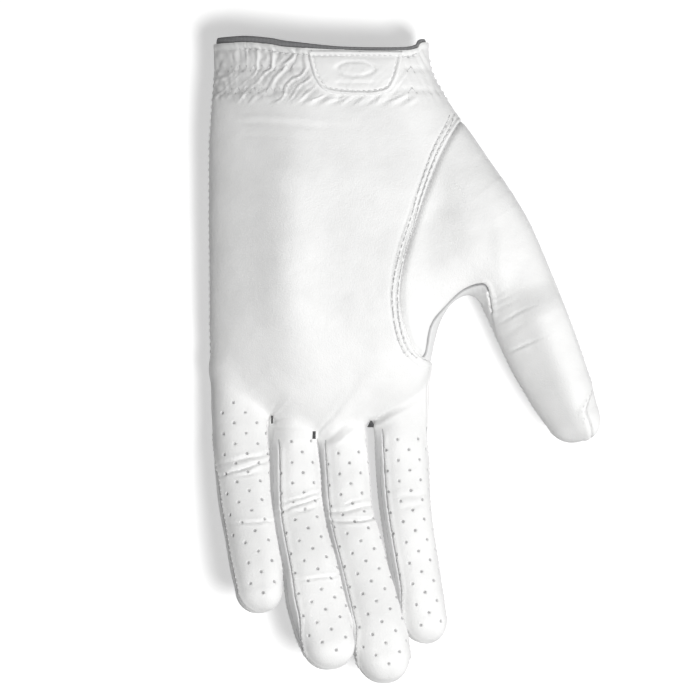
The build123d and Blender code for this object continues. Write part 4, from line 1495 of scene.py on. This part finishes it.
def build_tab_stitches():
    """The stitches round the edge of the tab, and the rows that hold its root."""
    half, bow = TAB_HALF - TAB_STITCHES, TAB_ROUND - TAB_STITCHES
    turn = np.linspace(-math.pi / 2, math.pi / 2, 30)
    bend_x = TAB_TIP_X + TAB_ROUND - bow * np.cos(turn)
    bend_y = TAB_MIDDLE + (half - TAB_ROUND + TAB_STITCHES) * np.sign(turn) + bow * np.sin(turn)
    x = np.concatenate([[TAB_HINGE_X - 1.5], bend_x, [TAB_HINGE_X - 1.5]])
    y = np.concatenate([[TAB_MIDDLE - half], bend_y, [TAB_MIDDLE + half]])
    sew("tab_stitches", [hand_row(line_of(x, y, 4.0), slack_relief, lift=2.35, **TAB_STITCH)], "closure_tab")
    rows = []
    y = np.linspace(TAB_Y[0] + 1.5, TAB_Y[1] - 1.5, 30)
    for x in (TAB_HINGE_X + 2.0, TAB_HINGE_X + TAB_ROOT - 1.5):
        rows.append(hand_row(line_of(x, y, 4.0), slack_relief, lift=1.2, **TAB_STITCH))
    sew("tab_root_stitches", rows, "root")


BELOW_EDGE = 3.2  # how far below the cuff's edge the slit's tape ends


def build_slit_tape(skin):
    """The tape that binds the slit on its inside."""
    layer = skin.copy()
    layer.cut(slit_side, 0.0, SLIT_TAPE)
    layer.cut(lambda p: cuff_height(p) - BELOW_EDGE - p[:, 1], 0.0)
    c = layer.centre()
    f = slit_side(c)
    part = layer.keep((f > 0) & (f < SLIT_TAPE) & (cuff_height(c) - BELOW_EDGE > c[:, 1]))
    deep = part["rise"] - SKIN
    thing = shell("slit_tape", part, deep - 0.05, deep - 0.6, ["binding"])
    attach(dress(thing, ["slit_binding"], "cuff_binding"), "root")


LABEL_X, LABEL_Y, LABEL_HALF = 16, 63, (7, 6)  # middle and half sizes of the label


def build_label(skin):
    """A small blank label inside the cuff."""
    c = skin.centre()
    across, along = np.abs(c[:, 0] - LABEL_X) < LABEL_HALF[0], np.abs(c[:, 1] - LABEL_Y) < LABEL_HALF[1]
    part = skin.keep(across & along & (c[:, 2] < BACK_Z))
    thing = shell("inside_label", part, part["rise"] - SKIN - 0.1, part["rise"] - SKIN - 0.45, ["label"])
    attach(dress(thing, ["size_label"], "label_tape"), "root")


# section of the binding: offset from the leather, and height; over the edge it is a share of the stand
BINDING_SECTION = [(-0.82, -3.0), (-0.82, -0.4), (-0.75, 0.35), (-0.9, 0.8), (-1.25, 1.0), (-1.6, 0.8),
                   (-1.75, 0.2), (-1.7, -3.0)]
BINDING_COUNT = 240  # points round the cuff


def build_binding():
    """The knitted tape that lines the cuff's edge and stands a little past it, in three lengths."""
    turn = np.linspace(0, 2 * math.pi, BINDING_COUNT + 1)[:-1]
    base, way = land(line_of(-1.4 + 36 * np.cos(turn), 73.5, 17.8 + 13 * np.sin(turn)), ["thumb"], 3)
    way = unit(way * (1, 0, 1))
    base[:, 1] = cuff_height(base)
    rise = np.minimum(root_relief(base, way), 0.0)
    stand = 1.2 + 1.1 * smoothstep(-base[:, 0], -8, 18)
    x, behind = base[:, 0], base[:, 2] <= 18.2
    lengths = {
        "binding_front": (base[:, 2] > 17.2, "cuff_binding_front"),
        "binding_back_outer": (behind & (x < SLIT_X - SLIT_MOUTH / 2), "cuff_binding_back_outer"),
        "binding_back_inner": (behind & (x > SLIT_X + SLIT_MOUTH / 2), "cuff_binding_back_inner"),
    }
    for name, (mask, node) in lengths.items():
        index = np.flatnonzero(mask)
        gap = np.flatnonzero(np.diff(index) > 1)
        if len(gap):
            index = np.roll(index, -gap[0] - 1)
        rings = []
        for offset, up in BINDING_SECTION:
            point = base[index] + (rise[index] + offset)[:, None] * way[index]
            point[:, 1] += np.where(up > 0, up * stand[index], up)
            rings.append(point)
        thing = add_mesh(name, np.vstack(rings), band_faces(len(index), len(rings)), ["binding"])
        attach(dress(thing, [node], "cuff_binding"), "root")


def band_faces(n, m):
    """Quads of a band with m lines of n points along it, closed at both ends. m is eight."""
    start = np.arange(n - 1)
    lines = [(k * n, (k + 1) % m * n) for k in range(m)]
    faces = [np.column_stack([start + k, start + k2, start + 1 + k2, start + 1 + k]) for k, k2 in lines]
    for end, order in ((0, 1), (n - 1, -1)):
        faces += [np.array([[0, k, k + 1, (k + 2) % m]])[:, ::order] * n + end for k in (1, 3, 5)]
    return np.vstack(faces)


# bar tacks, in near-black thread that stands for the shade in the forks: X, Y, length, width, share of the
# width at the end towards the cuff, turns of thread
TACKS = [(-18.5, -57.6, 2.4, 0.7, 1.0, 9), (-3.8, -63.0, 2.3, 1.25, 1.0, 7), (16.2, -59.2, 2.0, 2.8, 0.3, 8)]


def no_relief(p, way):
    return np.zeros(len(p))


def build_tacks():
    """The bar tacks over the forks of the fingers, each of some turns of thread side by side, near-black to
    stand for the shade in the forks.
    """
    rows = []
    for x, y, length, width, taper, count in TACKS:
        share = np.linspace(0, 1, count)
        line = line_of(x, y + (0.5 - share) * length, 34.0)
        line[:, 2] = np.max([height_of_form(line + (dx, 0, 0)) for dx in (-1.6, 0, 1.6)], axis=0)
        up, across = np.tile((0, 0, 1.0), (count, 1)), np.tile((1.0, 0, 0), (count, 1))
        widths = (width * (taper + (1 - taper) * share))[:, None]
        rows.append(Row(line, up, across, no_relief, widths, THREAD, lift=0.05))
    thing = add_mesh("fork_tacks", *thread_mesh(rows), ["dark_thread"])
    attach(dress(thing, ["crotch_tacks"], "thread"), "root")


def height_of_form(p):
    """The highest Z inside the form, straight below or above each point."""
    lowest, highest, step = 12.0, 35.0, 0.1
    height = np.full(len(p), lowest)
    for z in np.arange(lowest, highest, step):
        inside = form(line_of(p[:, 0], p[:, 1], z), ["thumb", *FINGERS]) < 0
        height = np.where(inside, z, height)
    return height


HOLED_ROWS = ("thumb_seam_stitches", "cuff_stitches", "elastic_stitches")  # rows whose needle holes show
sewn = root_rows()
needle_holes = np.vstack([row.holes() for group in HOLED_ROWS for row in sewn[group]])
# the floors of the perforations and needle holes get painted shade; dark is how strong it is
perforations = Pits(perforation_centres(), radii=(0.66, 0.4), depth=0.45, dark=0.64)
needle_pits = Pits(needle_holes, radii=(0.32,), depth=0.12, dark=0.45)
build_root([perforations, needle_pits])
for piece, group in sewn.items():
    sew(piece, group, "root")
for stall in stalls.values():
    build_stall(stall, [perforations])
build_closure()
build_binding()
build_tacks()


# ------------------------------------------------------------------ stage, light and camera


def build_floor():
    """A white floor that glows a little, so that it stays brighter than the leather."""
    half = 1500.0
    verts = np.array([(-1, -1, 0), (1, -1, 0), (1, 1, 0), (-1, 1, 0)]) * half
    glow = {"Specular IOR Level": 0.0, "Emission Color": (1, 1, 1, 1), "Emission Strength": 0.28}
    materials["floor"] = Look("pale_floor", (0.9, 0.9, 0.9), 0.9).finish(glow)
    floor = add_mesh("floor", verts, np.array([[0, 1, 2, 3]]), ["floor"])
    floor.visible_diffuse = False


LAMP_TARGET = (0.01, -0.03, 0.02)  # where every lamp points, in metres
LIGHTS = {  # place in metres, power in watts, side of the square lamp in metres, whether it casts shadows
    "key": ((0.33, -0.28, 0.97), 7.9, 0.28, True),
    "rake": ((0.62, -0.14, 0.34), 1.8, 0.30, False),
    "bounce": ((-0.80, 0.10, 0.30), 0.9, 0.50, False),
}


def build_lights():
    """A pale sky, a soft lamp high at the lower right, a weaker one raking in, and some from the left."""
    world = bpy.data.worlds.new("studio")
    world.use_nodes = True
    sky = world.node_tree.nodes["Background"]
    sky.inputs["Color"].default_value = (1, 1, 1, 1)
    sky.inputs["Strength"].default_value = 0.2
    bpy.context.scene.world = world
    for name, (place, power, side, shadow) in LIGHTS.items():
        light = bpy.data.lights.new(name, "AREA")
        light.shape, light.size, light.energy, light.use_shadow = "SQUARE", side, power, shadow
        lamp = bpy.data.objects.new(name, light)
        lamp.location = place
        lamp.rotation_euler = (Vector(LAMP_TARGET) - Vector(place)).to_track_quat("-Z", "Y").to_euler()
        bpy.context.scene.collection.objects.link(lamp)


VIEW_CENTRE = (8.75, -33.25)
VIEW_WIDTH = 245.0  # the width that the picture spans at the glove's middle height
VIEW_HEIGHT = 18.0  # the height at which that width counts
VIEW_DISTANCE = 1400.0


def build_camera():
    """A camera straight above the glove, as far away as in the photograph."""
    camera = bpy.data.cameras.new("camera")
    camera.lens = camera.sensor_width * VIEW_DISTANCE / VIEW_WIDTH
    camera.clip_end = 20
    holder = bpy.data.objects.new("camera", camera)
    holder.location = tuple(v * MM for v in (*VIEW_CENTRE, VIEW_DISTANCE + VIEW_HEIGHT))
    bpy.context.scene.collection.objects.link(holder)
    bpy.context.scene.camera = holder


build_floor()
build_lights()
build_camera()
bpy.context.scene.view_settings.view_transform = "Standard"
bpy.context.scene.view_settings.look = "None"
